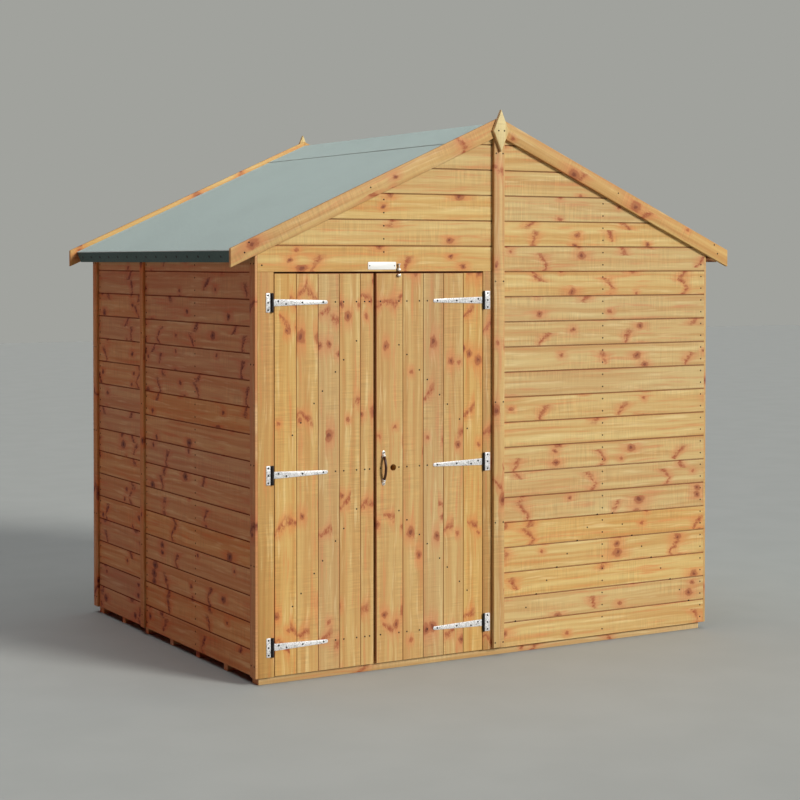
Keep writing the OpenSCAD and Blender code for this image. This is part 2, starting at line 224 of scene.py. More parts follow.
def soften(obj: bpy.types.Object, width: float, segments: int = 2, angle: float = 35.0) -> None:
    """Rounds every sharp edge with an applied bevel and shades it smooth by angle.

    Args:
        obj: The object to soften.
        width: The rounding's width.
        segments: Its number of segments.
        angle: Edges sharper than this many degrees are rounded.
    """
    activate(obj)
    bevel = obj.modifiers.new("arris", "BEVEL")
    bevel.width = width
    bevel.segments = segments
    bevel.limit_method = "ANGLE"
    bevel.angle_limit = math.radians(angle)
    bpy.ops.object.modifier_apply(modifier=bevel.name)
    shade(obj, angle)


def repeat(obj: bpy.types.Object, count: int, step: Sequence[float]) -> None:
    """Repeats an object's mesh along a line with an applied array.

    Args:
        obj: The object to repeat.
        count: How many there are in the end.
        step: The way from one to the next.
    """
    if count < 2:
        return
    activate(obj)
    array = obj.modifiers.new("row", "ARRAY")
    array.count = count
    array.use_relative_offset = False
    array.use_constant_offset = True
    array.constant_offset_displace = step
    bpy.ops.object.modifier_apply(modifier=array.name)


def cut(obj: bpy.types.Object, point: Sequence[float], normal: Sequence[float]) -> None:
    """Cuts away what lies beyond a plane and closes the cut.

    Args:
        obj: The object to cut.
        point: A point on the plane.
        normal: The plane's normal, towards the side that goes.
    """
    with edit_mode(obj, select_all=True):
        bpy.ops.mesh.bisect(plane_co=point, plane_no=normal, use_fill=True, clear_outer=True)


def thicken(obj: bpy.types.Object, thickness: float, offset: float) -> None:
    """Gives a sheet its thickness with an applied shell.

    Args:
        obj: The sheet.
        thickness: The sheet's thickness.
        offset: -1 to grow below its faces, 1 to grow above them.
    """
    activate(obj)
    shell = obj.modifiers.new("shell", "SOLIDIFY")
    shell.thickness = thickness
    shell.offset = offset
    bpy.ops.object.modifier_apply(modifier=shell.name)


def round_corners(obj: bpy.types.Object, low: Sequence[float], high: Sequence[float],
                  width: float, segments: int) -> None:
    """Rounds the four corners of a plate on a front face.

    Args:
        obj: The plate.
        low: Its lowest corner.
        high: Its highest corner.
        width: The rounding's width.
        segments: Its number of segments.
    """
    for x in (low[0], high[0]):
        for z in (low[2], high[2]):
            bevel_points(obj, lambda p: abs(p.x - x) < TOUCH and abs(p.z - z) < TOUCH,
                         width, segments)


def drill(obj: bpy.types.Object, tool: bpy.types.Object) -> None:
    """Takes a tool's shape out of an object and removes the tool.

    Args:
        obj: The object to drill.
        tool: The shape to take out.
    """
    activate(obj)
    hole = obj.modifiers.new("hole", "BOOLEAN")
    hole.operation = "DIFFERENCE"
    hole.solver = "EXACT"
    hole.object = tool
    bpy.ops.object.modifier_apply(modifier=hole.name)
    bpy.data.objects.remove(tool)


def join(name: str, parts: Sequence[bpy.types.Object]) -> bpy.types.Object:
    """Joins several objects into one piece.

    Args:
        name: The piece's name.
        parts: The objects to join.

    Returns:
        The joined object.
    """
    deselect_all()
    for part in parts:
        part.select_set(True)
    bpy.context.view_layer.objects.active = parts[0]
    bpy.ops.object.join()
    joined = bpy.context.active_object
    joined.name = name
    joined.data.name = name
    return joined


def paint_grain(obj: bpy.types.Object, along: Sequence[float], across: Sequence[float],
                board_of: Callable[[Vector], float], seed: int,
                joint_shade_of: Callable[[bpy.types.MeshPolygon], float] = lambda face: 0.0) -> None:
    """Writes each board's grain coordinates, tone and painted shade in the coves and grooves into
    the mesh.

    Args:
        obj: The piece to paint.
        along: The direction of the grain.
        across: The direction across the boards.
        board_of: Gives a board's number from the middle of a face.
        seed: Keeps the boards of one piece unlike those of another.
        joint_shade_of: Says how much painted shade a face gets in the coves and grooves between
            boards.
    """
    along, across = Vector(along).normalized(), Vector(across).normalized()
    through = along.cross(across)
    mesh = obj.data
    numbers = [board_of(face.center) for face in mesh.polygons]
    spans: dict[float, tuple[float, float]] = {}
    for face, number in zip(mesh.polygons, numbers):
        reach = face.center.dot(across)
        low, high = spans.get(number, (reach, reach))
        spans[number] = (min(low, reach), max(high, reach))
    boards: dict[float, tuple[float, float, float, float]] = {}
    for number, (low, high) in spans.items():
        draw = random.Random(f"{seed}:{number:.3f}")
        row = (draw.randint(0, 400) + 0.5) * WHISKER_ROW
        boards[number] = (seed * 0.137 + draw.uniform(-0.11, 0.11), row - (low + high) / 2,
                          draw.uniform(0, 9), draw.random())
    places: list[float] = []
    tones: list[float] = []
    joints: list[float] = []
    for face, number in zip(mesh.polygons, numbers):
        shift_u, shift_v, shift_w, shade = boards[number]
        # painted shade of the face in the groove or cove between boards
        painted_shade = joint_shade_of(face)
        for index in face.loop_indices:
            place = mesh.vertices[mesh.loops[index].vertex_index].co
            places += [place.dot(along) + shift_u, place.dot(across) + shift_v,
                       place.dot(through) + shift_w]
            tones.append(shade)
            joints.append(painted_shade)
    for name, kind, values in (("grain", "FLOAT_VECTOR", places), ("tone", "FLOAT", tones),
                               ("joint", "FLOAT", joints)):
        mesh.attributes.new(name, kind, "CORNER")
        mesh.attributes[name].data.foreach_set("vector" if name == "grain" else "value", values)


# ---------------------------------------------------------------- materials


class Graph:
    """Adds and links the nodes of one material."""

    def __init__(self, name: str) -> None:
        """Starts an empty material.

        Args:
            name: The material's name.
        """
        self.material = bpy.data.materials.new(name)
        self.material.use_nodes = True
        self.tree = self.material.node_tree
        self.tree.nodes.clear()
        self.output = self.tree.nodes.new("ShaderNodeOutputMaterial")
        self.shader = self.tree.nodes.new("ShaderNodeBsdfPrincipled")
        self.tree.links.new(self.shader.outputs[0], self.output.inputs["Surface"])

    def put(self, socket: bpy.types.NodeSocket, value: object) -> None:
        """Links a socket or sets its value."""
        if isinstance(value, bpy.types.NodeSocket):
            self.tree.links.new(value, socket)
        elif value is not None:
            socket.default_value = value

    def math(self, operation: str, first: object, second: object = None,
             third: object = None) -> bpy.types.NodeSocket:
        """Adds a Math node and returns its value."""
        node = self.tree.nodes.new("ShaderNodeMath")
        node.operation = operation
        for socket, value in zip(node.inputs, (first, second, third)):
            self.put(socket, value)
        return node.outputs[0]

    def smooth(self, value: object, low: float, high: float) -> bpy.types.NodeSocket:
        """Adds a smooth step from 0 at low to 1 at high and returns it."""
        node = self.tree.nodes.new("ShaderNodeMapRange")
        node.interpolation_type = "SMOOTHSTEP"
        for socket, number in zip(node.inputs, (value, low, high, 0.0, 1.0)):
            self.put(socket, number)
        return node.outputs[0]

    def combine(self, x: object, y: object, z: object) -> bpy.types.NodeSocket:
        """Adds a Combine XYZ node and returns its vector."""
        node = self.tree.nodes.new("ShaderNodeCombineXYZ")
        for socket, value in zip(node.inputs, (x, y, z)):
            self.put(socket, value)
        return node.outputs[0]

    def split(self, vector: bpy.types.NodeSocket) -> list[bpy.types.NodeSocket]:
        """Adds a Separate XYZ node and returns its three values."""
        node = self.tree.nodes.new("ShaderNodeSeparateXYZ")
        self.put(node.inputs[0], vector)
        return list(node.outputs)

    def scaled(self, u: object, by_u: float, v: object, by_v: float,
               w: object) -> bpy.types.NodeSocket:
        """Combines two stretched values and a third into a vector."""
        return self.combine(self.math("MULTIPLY", u, by_u), self.math("MULTIPLY", v, by_v), w)

    def grown(self, place: Sequence[object], scale: float) -> bpy.types.NodeSocket:
        """Multiplies all three values of a place by a scale and combines them."""
        return self.combine(*(self.math("MULTIPLY", part, scale) for part in place))

    def object_place(self) -> list[bpy.types.NodeSocket]:
        """Reads the place in the object's own frame as three values."""
        return self.split(self.tree.nodes.new("ShaderNodeTexCoord").outputs["Object"])

    def noise(self, vector: bpy.types.NodeSocket, detail: float = 2.0,
              roughness: float = 0.5, output: str = "Fac") -> bpy.types.NodeSocket:
        """Adds a noise texture at a scale of one and returns its value or colour."""
        node = self.tree.nodes.new("ShaderNodeTexNoise")
        self.put(node.inputs["Vector"], vector)
        node.inputs["Scale"].default_value = 1.0
        node.inputs["Detail"].default_value = detail
        node.inputs["Roughness"].default_value = roughness
        return node.outputs[output]

    def fade(self, value: object, low: float, high: float) -> bpy.types.NodeSocket:
        """Adds a smooth step from 1 at low down to 0 at high and returns it."""
        return self.math("SUBTRACT", 1.0, self.smooth(value, low, high))

    def product(self, first: object, *others: object) -> bpy.types.NodeSocket:
        """Multiplies several values and returns the product."""
        for other in others:
            first = self.math("MULTIPLY", first, other)
        return first

    def attribute(self, name: str, output: str) -> bpy.types.NodeSocket:
        """Reads one of the mesh's own attributes."""
        node = self.tree.nodes.new("ShaderNodeAttribute")
        node.attribute_name = name
        return node.outputs[output]

    def adjust(self, base: object, saturation: object, value: object) -> bpy.types.NodeSocket:
        """Changes a colour's saturation and value and returns it."""
        node = self.tree.nodes.new("ShaderNodeHueSaturation")
        self.put(node.inputs["Saturation"], saturation)
        self.put(node.inputs["Value"], value)
        self.put(node.inputs["Color"], base)
        return node.outputs[0]

    def mix(self, share: object, first: object, second: object,
            blend: str = "MIX") -> bpy.types.NodeSocket:
        """Adds a colour mix and returns its colour."""
        node = self.tree.nodes.new("ShaderNodeMix")
        node.data_type = "RGBA"
        node.blend_type = blend
        self.put(node.inputs["Factor"], share)
        self.put(node.inputs[6], first)
        self.put(node.inputs[7], second)
        return node.outputs[2]

    def bump(self, height: bpy.types.NodeSocket, distance: float, strength: float = 1.0) -> None:
        """Bumps the shader with a height in metres times a distance."""
        node = self.tree.nodes.new("ShaderNodeBump")
        node.inputs["Strength"].default_value = strength
        node.inputs["Distance"].default_value = distance
        self.put(node.inputs["Height"], height)
        self.put(self.shader.inputs["Normal"], node.outputs[0])


def colour(red: float, green: float, blue: float) -> Colour:
    """Turns a screen colour with parts from 0 to 255 into a linear one."""
    def linear(part: float) -> float:
        """Turns one part into its linear value."""
        part /= 255
        return part / 12.92 if part <= 0.04045 else ((part + 0.055) / 1.055) ** 2.4
    return (linear(red), linear(green), linear(blue), 1.0)


@dataclass(frozen=True)
class Timber:
    """Dip-treated pine with red knots and whiskers, soft grain bands, planer ripples and painted
    shade in the coves and grooves between boards.
    """

    name: str
    grain: Grain = Grain.PAINTED
    pale: Colour = colour(206, 180, 120)
    warm: Colour = colour(190, 146, 86)
    rosy: Colour = colour(202, 130, 80)
    knot: Colour = colour(152, 73, 42)
    heart: Colour = colour(104, 52, 34)
    # painted shade laid on the coves, grooves and chamfers between boards
    joint: Colour = colour(124, 46, 14)
    cream: Colour = colour(226, 206, 152)
    knot_gap: float = 0.40
    knot_share: float = 0.40
    whisker_gap: float = 0.46
    whisker_share: float = 0.50
    roughness: float = 0.6

    def coordinates(self, g: Graph) -> tuple[list[bpy.types.NodeSocket], object, object]:
        """Finds the grain's coordinates, the board's tone and the painted shade between boards.

        Args:
            g: The material's graph.

        Returns:
            The values along, across and through the grain, the tone and the share of painted shade
            between boards.
        """
        if self.grain is Grain.PAINTED:
            return (g.split(g.attribute("grain", "Vector")), g.attribute("tone", "Fac"),
                    g.attribute("joint", "Fac"))
        x, y, z = g.object_place()
        order = {Grain.ALONG_X: [x, g.math("ADD", z, y), y],
                 Grain.ALONG_Y: [y, g.math("ADD", x, z), z],
                 Grain.ALONG_Z: [z, g.math("ADD", x, y), y]}
        return order[self.grain], 0.5, 0.0

    @staticmethod
    def strew(g: Graph, u: object, v: object, cell: tuple[float, float],
              spread: float) -> tuple[object, object, list[bpy.types.NodeSocket]]:
        """Finds the nearest of the marks strewn over the boards.

        Args:
            g: The material's graph.
            u: The place along the grain.
            v: The place across the grain.
            cell: The mean gaps between marks along and across the grain.
            spread: How far the marks stray from an even lattice.

        Returns:
            The ways from the mark along and across the grain, and three random values.
        """
        lattice = g.scaled(u, 1 / cell[0], v, 1 / cell[1], 0.0)
        cells = g.tree.nodes.new("ShaderNodeTexVoronoi")
        cells.voronoi_dimensions = "2D"
        cells.inputs["Scale"].default_value = 1.0
        cells.inputs["Randomness"].default_value = spread
        g.put(cells.inputs["Vector"], lattice)
        gap = g.tree.nodes.new("ShaderNodeVectorMath")
        gap.operation = "SUBTRACT"
        g.put(gap.inputs[0], lattice)
        g.put(gap.inputs[1], cells.outputs["Position"])
        gap_u, gap_v, _ = g.split(gap.outputs[0])
        return (g.math("MULTIPLY", gap_u, cell[0]), g.math("MULTIPLY", gap_v, cell[1]),
                g.split(cells.outputs["Color"]))

    def knots(self, g: Graph, u: object, v: object, fray: object) -> tuple[object, object, object]:
        """Draws the round knots.

        Args:
            g: The material's graph.
            u: The place along the grain.
            v: The place across the grain.
            fray: Noise that frays their edges.

        Returns:
            The shares of knot, of dark heart and of the stain around.
        """
        along, across, (pick, _, size) = self.strew(g, u, v, (self.knot_gap, 0.046), 0.55)
        radius = g.math("MULTIPLY_ADD", g.math("MULTIPLY", size, size), 0.016, 0.0075)
        along = g.math("MULTIPLY", along, 0.8)
        reach = g.math("SQRT", g.math("ADD", g.product(along, along), g.product(across, across)))
        at = g.math("DIVIDE", g.math("MULTIPLY_ADD", fray, 0.022, reach), radius)
        present = g.math("LESS_THAN", pick, self.knot_share)
        rings = g.math("MULTIPLY_ADD", g.math("SINE", g.math("MULTIPLY", at, 9.0)), 0.2, 0.8)
        return (g.product(g.fade(at, 0.45, 1.5), present, rings),
                g.product(g.fade(at, 0.10, 0.75), present, g.math("GREATER_THAN", size, 0.35)),
                g.product(g.fade(at, 0.8, 4.6), present))

    def whiskers(self, g: Graph, u: object, v: object, fray: object,
                 coarse: object) -> tuple[object, object]:
        """Draws the slanting whiskers that spread from a board's pith.

        Args:
            g: The material's graph.
            u: The place along the grain.
            v: The place across the grain.
            fray: Noise that frays their edges.
            coarse: Noise that breaks them into patches.

        Returns:
            The shares of whisker and of the stain around it.
        """
        along, across, (pick, kind, size) = self.strew(
            g, u, v, (self.whisker_gap, WHISKER_ROW), 0.30)
        side = g.math("ABSOLUTE", across)
        way = g.math("MULTIPLY_ADD", g.math("GREATER_THAN", kind, 0.5), 2.0, -1.0)
        lean = g.math("MULTIPLY", g.math("MULTIPLY_ADD", size, 0.9, 0.25), way)
        arm = g.math("ABSOLUTE", g.math("MULTIPLY_ADD", fray, 0.034,
                                        g.math("MULTIPLY_ADD", side, lean, along)))
        at = g.math("DIVIDE", arm, g.math("MULTIPLY_ADD", side, 0.26, 0.0075))
        both = g.math("GREATER_THAN", pick, self.whisker_share * 0.28)
        shown = g.math("MAXIMUM", both, g.math("GREATER_THAN", across, -0.004))
        present = g.product(shown, g.math("LESS_THAN", pick, self.whisker_share))
        broken = g.product(g.smooth(coarse, 0.30, 0.44), g.fade(side, 0.044, 0.075))
        streaks = g.math("MULTIPLY_ADD", g.smooth(fray, -0.12, 0.10), 0.6, 0.4)
        return (g.product(g.fade(at, 0.15, 1.45), present, broken, streaks),
                g.product(g.fade(at, 0.5, 4.6), present, g.fade(side, 0.04, 0.08)))

    def make(self) -> bpy.types.Material:
        """Builds the material.

        Returns:
            The finished material.
        """
        g = Graph(self.name)
        (u, v, w), tone, joint = self.coordinates(g)
        stray = g.noise(g.scaled(u, 24.0, v, 42.0, w), 2.0, 0.5, "Color")
        stray_u, stray_v, stray_w = g.split(stray)
        near_u = g.math("MULTIPLY_ADD", g.math("SUBTRACT", stray_u, 0.5), 0.034, u)
        near_v = g.math("MULTIPLY_ADD", g.math("SUBTRACT", stray_v, 0.5), 0.016, v)
        fray = g.math("SUBTRACT", g.noise(g.scaled(u, 60.0, v, 95.0, w), 5.0, 0.7), 0.5)
        knot, heart, stain = self.knots(g, near_u, near_v, fray)
        whisker, blush = self.whiskers(g, near_u, near_v, fray, stray_w)
        stain = g.math("MAXIMUM", stain, blush)
        # grain lines that wander and bend around the stains
        wander = g.math("SUBTRACT", g.noise(g.scaled(u, 2.2, v, 5.0, w), 2.0), 0.5)
        flow = g.math("MULTIPLY_ADD", wander, 0.022, v)
        flow = g.math("MULTIPLY_ADD", stain, 0.006, flow)
        bands = g.noise(g.scaled(u, 0.9, flow, 44.0, w), 2.0)
        lines = g.noise(g.scaled(u, 5.0, flow, 240.0, w), 3.0, 0.6)
        streak = g.noise(g.scaled(u, 3.4, flow, 52.0, g.math("ADD", w, 3.0)), 3.0, 0.6)
        chatter = g.noise(g.scaled(u, 150.0, v, 10.0, w), 1.0)
        rough = g.smooth(g.noise(g.scaled(u, 3.5, v, 12.0, w), 2.0), 0.42, 0.62)
        # colour
        base = g.mix(g.smooth(bands, 0.26, 0.76), self.pale, self.warm)
        base = g.mix(g.math("MULTIPLY", g.fade(streak, 0.28, 0.46), 0.45), base, self.cream)
        base = g.mix(g.math("MULTIPLY", g.smooth(streak, 0.53, 0.72), 0.62), base, self.rosy)
        base = g.mix(g.product(stain, g.math("MULTIPLY_ADD", fray, 0.9, 0.62)), base, self.rosy)
        ripple = g.product(g.math("SUBTRACT", chatter, 0.5),
                           g.math("MULTIPLY_ADD", rough, 0.34, 0.08))
        shade = g.math("MULTIPLY_ADD", g.math("SUBTRACT", tone, 0.5), 0.12, ripple)
        shade = g.math("MULTIPLY_ADD", g.math("SUBTRACT", lines, 0.5), 0.24, shade)
        wood = g.adjust(base, g.math("MULTIPLY_ADD", tone, 0.10, 0.95), g.math("ADD", 1.0, shade))
        marks = g.math("MAXIMUM", knot, whisker)
        wood = g.mix(g.math("MULTIPLY", marks, 0.92), wood, self.knot)
        wood = g.mix(g.math("MULTIPLY", heart, 0.6), wood, self.heart)
        # painted shade in the coves, grooves and chamfers between boards
        wood = g.mix(joint, wood, self.joint)
        g.put(g.shader.inputs["Base Color"], wood)
        g.put(g.shader.inputs["Roughness"],
              g.math("MULTIPLY_ADD", lines, 0.2, self.roughness - 0.1))
        g.shader.inputs["Specular IOR Level"].default_value = 0.3
        relief = g.math("MULTIPLY_ADD", ripple, 3.0, lines)
        g.bump(g.math("MULTIPLY_ADD", marks, 0.6, relief), 0.0006, 0.5)
        return g.material


@dataclass(frozen=True)
class Felt:
    """Mineral-surfaced roofing felt."""

    name: str
    tint: Colour
    deep: Colour
    roughness: float = 0.92

    def make(self) -> bpy.types.Material:
        """Builds the material.

        Returns:
            The finished material.
        """
        g = Graph(self.name)
        place = g.object_place()
        grit = g.noise(g.grown(place, 620.0), 2.0, 0.7)
        speck = g.noise(g.grown(place, 130.0), 3.0, 0.7)
        cloud = g.noise(g.grown(place, 2.4), 3.0, 0.55)
        base = g.mix(g.smooth(grit, 0.30, 0.66), self.deep, self.tint)
        base = g.mix(g.math("MULTIPLY", g.smooth(speck, 0.52, 0.72), 0.45), base, self.deep)
        base = g.mix(g.math("MULTIPLY", g.smooth(cloud, 0.35, 0.75), 0.18), base, self.deep)
        g.put(g.shader.inputs["Base Color"], base)
        g.shader.inputs["Roughness"].default_value = self.roughness
        g.shader.inputs["Specular IOR Level"].default_value = 0.25
        g.bump(grit, 0.0008, 0.6)
        return g.material


@dataclass(frozen=True)
class Metal:
    """Plated or blackened steel with faint rolling marks."""

    name: str
    tint: Colour
    roughness: float = 0.35
    metallic: float = 1.0
    mottle: float = 0.10

    def make(self) -> bpy.types.Material:
        """Builds the material.

        Returns:
            The finished material.
        """
        g = Graph(self.name)
        x, y, z = place = g.object_place()
        spots = g.noise(g.grown(place, 240.0), 3.0, 0.7)
        cloud = g.noise(g.grown(place, 34.0), 2.0)
        marks = g.noise(g.scaled(x, 30.0, y, 400.0, g.math("MULTIPLY", z, 900.0)), 2.0)
        spangle = g.product(g.smooth(spots, 0.40, 0.66), g.math("MULTIPLY_ADD", cloud, 1.2, 0.2))
        value = g.math("MULTIPLY_ADD", spangle, -2.0 * self.mottle, 1.0 + self.mottle * 0.5)
        g.put(g.shader.inputs["Base Color"], g.adjust(self.tint, 1.0, value))
        g.shader.inputs["Metallic"].default_value = self.metallic
        g.put(g.shader.inputs["Roughness"],
              g.math("MULTIPLY_ADD", g.math("SUBTRACT", marks, 0.5), 0.16, self.roughness))
        g.bump(g.math("ADD", marks, spots), 0.0001, 0.4)
        return g.material


class Finishes:
    """Every finish of the shed, made once."""

    def __init__(self) -> None:
        """Builds the materials."""
        self.cladding = Timber("pine_cladding").make()
        # the doors take their own colour of painted shade in their grooves
        self.doors = Timber("pine_doors", whisker_share=0.42, knot_share=0.5,
                            pale=colour(200, 168, 107), warm=colour(184, 138, 80),
                            joint=colour(120, 56, 30)).make()
        self.jambs = Timber("pine_posts", whisker_share=0.3, knot_share=0.3,
                            pale=colour(188, 150, 90), warm=colour(172, 124, 70)).make()
        self.trim = Timber("pine_trim", knot_gap=0.36, knot_share=0.45, whisker_share=0.5,
                           pale=colour(206, 170, 106), warm=colour(188, 138, 80)).make()
        # Redder, darker copies of the timber for the left side's walls and trims: painted shade of
        # that side.
        painted_shade = {"warm": colour(192, 130, 76), "rosy": colour(200, 112, 66),
                  "knot": colour(98, 32, 30), "heart": colour(66, 24, 22)}
        self.side = Timber("pine_painted_shade", pale=colour(206, 162, 106), **painted_shade).make()
        self.painted_shade_trim = Timber("pine_painted_shade_trim", pale=colour(202, 152, 96), whisker_share=0.35,
                                knot_share=0.3, **painted_shade).make()
        self.cream = Timber("pale_pine", knot_share=0.0, whisker_share=0.0,
                            pale=colour(224, 206, 150), warm=colour(208, 180, 118)).make()
        sawn = {"roughness": 0.72, "knot_gap": 0.5, "pale": colour(206, 178, 128)}
        self.inside = Timber("sawn_pine", **sawn).make()
        self.posts = Timber("sawn_studs", Grain.ALONG_Z, **sawn).make()
        self.beams = Timber("sawn_rails", Grain.ALONG_X, **sawn).make()
        self.plates = Timber("sawn_battens", Grain.ALONG_Y, **sawn).make()
        self.felt = Felt("roof_felt", colour(205, 229, 223), colour(166, 187, 183)).make()
        # A darker copy of the felt for the face folded down below the eaves: painted shade.
        self.felt_edge_painted_shade = Felt("felt_edge_painted_shade", colour(96, 129, 126), colour(64, 91, 89)).make()
        self.zinc = Metal("zinc_plate", colour(212, 213, 214), 0.42, 0.15, 0.44).make()
        self.black = Metal("black_steel", colour(13, 12, 12), 0.6, 0.0).make()
        self.screw = Metal("dark_screw", colour(13, 13, 14), 0.7, 0.0).make()
        self.nail = Metal("rusted_nail", colour(13, 9, 5), 0.9, 0.0).make()
        self.bright = Metal("bright_plate", colour(240, 238, 232), 0.22, 0.35, 0.04).make()
        # Dark brown for the handle's bow: painted reflection of dark surroundings in bright plated
        # steel.
        self.painted_reflection_bow = Metal("bow_painted_reflection", colour(66, 33, 13), 0.34, 0.0, 0.05).make()
        self.white = Metal("white_plate", colour(236, 237, 235), 0.35, 0.0, 0.01).make()


def dress(obj: bpy.types.Object, material: bpy.types.Material) -> None:
    """Gives an object one material.

    Args:
        obj: The object to dress.
        material: Its material.
    """
    obj.data.materials.clear()
    obj.data.materials.append(material)


def settle(obj: bpy.types.Object, body: Body, nodes: Sequence[str] = (),
           material: bpy.types.Material | None = None) -> None:
    """Puts a finished piece on its body and hides the model's nodes that it stands for.

    Args:
        obj: The finished piece.
        body: The body that it moves with.
        nodes: The model's nodes that it stands for.
        material: Its one material, or None if it is dressed already.
    """
    if material is not None:
        dress(obj, material)
    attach(obj, body.value)
    if nodes:
        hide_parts(*nodes)
    LOG.info("piece %s: %d faces on %s", obj.name, len(obj.data.polygons), body.value)


# ---------------------------------------------------------------- the shed's sizes


@dataclass
class Layout:
    """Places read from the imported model."""

    courses: int = 15
    slope: float = field(init=False)
    ridge_z: float = field(init=False)
    gable_y: float = field(init=False)
    side_x: float = field(init=False)
    clad_z: float = field(init=False)
    head_z: float = field(init=False)
    roof_t: float = field(init=False)
    course: float = field(init=False)

    def __post_init__(self) -> None:
        """Reads the places."""
        wall_low, wall_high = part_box("front_wall_right")
        self.gable_y = -wall_low.y
        self.side_x = wall_high.x
        self.clad_z = wall_low.z
        self.head_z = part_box("front_wall_over_door")[0].z
        self.ridge_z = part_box("felt_right")[1].z
        self.slope = math.tan(math.radians(ROOF_PITCH))
        self.roof_t = self.ridge_z - wall_high.z
        self.course = (self.head_z - self.clad_z) / self.courses

    def roof_z(self, x: float, drop: float = 0.0) -> float:
        """Height of the felt's surface at x, less an upright drop."""
        return self.ridge_z - abs(x) * self.slope - drop

    def under_roof(self, obj: bpy.types.Object, side: int) -> None:
        """Cuts a wall or trim along the underside of one slope's roof boards."""
        cut(obj, (0, 0, self.ridge_z - self.roof_t - 0.0004), (side * self.slope, 0, 1))


# ---------------------------------------------------------------- walls


@dataclass
class ShiplapWall:
    """Horizontal shiplap boards on a gable or on a side."""

    name: str
    node: str
    outward: tuple[int, int]
    material: bpy.types.Material
    cove: float = 0.0042
    arris: float = 0.0012
    reveal: float = 0.0006

    def build(self, layout: Layout, seed: int) -> bpy.types.Object:
        """Builds the boards of one wall and cuts them under the roof.

        Args:
            layout: The shed's places.
            seed: Seed of the boards' looks.

        Returns:
            The finished wall.
        """
        low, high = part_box(self.node)
        axis = 0 if self.outward[0] else 1
        sign = self.outward[axis]
        outer = (high if sign > 0 else low)[axis]
        pitch = layout.course
        first = math.floor((low.z - layout.clad_z) / pitch + 0.01)
        z0 = layout.clad_z + first * pitch
        count = math.ceil((high.z - z0) / pitch)
        top = z0 + pitch - self.reveal
        board = add_box(self.name, (low.x, low.y, z0), (high.x, high.y, top))
        bevel_points(board, lambda p: abs(p.z - top) < TOUCH and abs(p[axis] - outer) < TOUCH,
                     self.cove, 4, 0.12)
        bevel_points(board, lambda p: abs(p.z - z0) < TOUCH and abs(p[axis] - outer) < TOUCH,
                     self.arris, 1)
        repeat(board, count, (0, 0, pitch))
        layout.under_roof(board, 1 if low.x + high.x > 0 else -1)
        shade(board, 40)
        along = (1, 0, 0) if axis == 1 else (0, 1, 0)
        # painted shade on the cove and arris faces, the more the further they turn from the wall's
        # face
        paint_grain(board, along, (0, 0, 1),
                    lambda c: math.floor((c.z - layout.clad_z) / pitch + 0.001), seed,
                    lambda f: min(1.0, max(0.0, 3.0 * (0.98 - abs(f.normal[axis])))))
        dress(board, self.material)
        return board


@dataclass
class Walls:
    """All the clad walls and the doorway's posts."""

    finishes: Finishes
    layout: Layout

    def build(self) -> None:
        """Builds the gable walls, the side walls and the posts."""
        cladding = self.finishes.cladding
        walls = [
            ("front_wall_right", (0, -1)), ("front_wall_over_door", (0, -1)),
            ("rear_wall_left", (0, 1)), ("rear_wall_right", (0, 1)),
            ("left_wall_front", (-1, 0)), ("left_wall_rear", (-1, 0)),
            ("right_wall_front", (1, 0)), ("right_wall_rear", (1, 0)),
        ]
        for seed, (node, outward) in enumerate(walls):
            # The left walls take the timber with painted shade.
            material = self.finishes.side if outward == (-1, 0) else cladding
            wall = ShiplapWall(node + "_boards", node, outward, material)
            settle(wall.build(self.layout, 100 + seed), Body.SHED, [node])
        for seed, node in enumerate(("door_post_left", "door_post_right")):
            low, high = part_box(node)
            post = add_box(node + "_board", low, high)
            soften(post, 0.0015)
            paint_grain(post, (0, 0, 1), (1, 0, 0), lambda c: 0.0, 200 + seed)
            settle(post, Body.SHED, [node], self.finishes.jambs)


# ---------------------------------------------------------------- trims


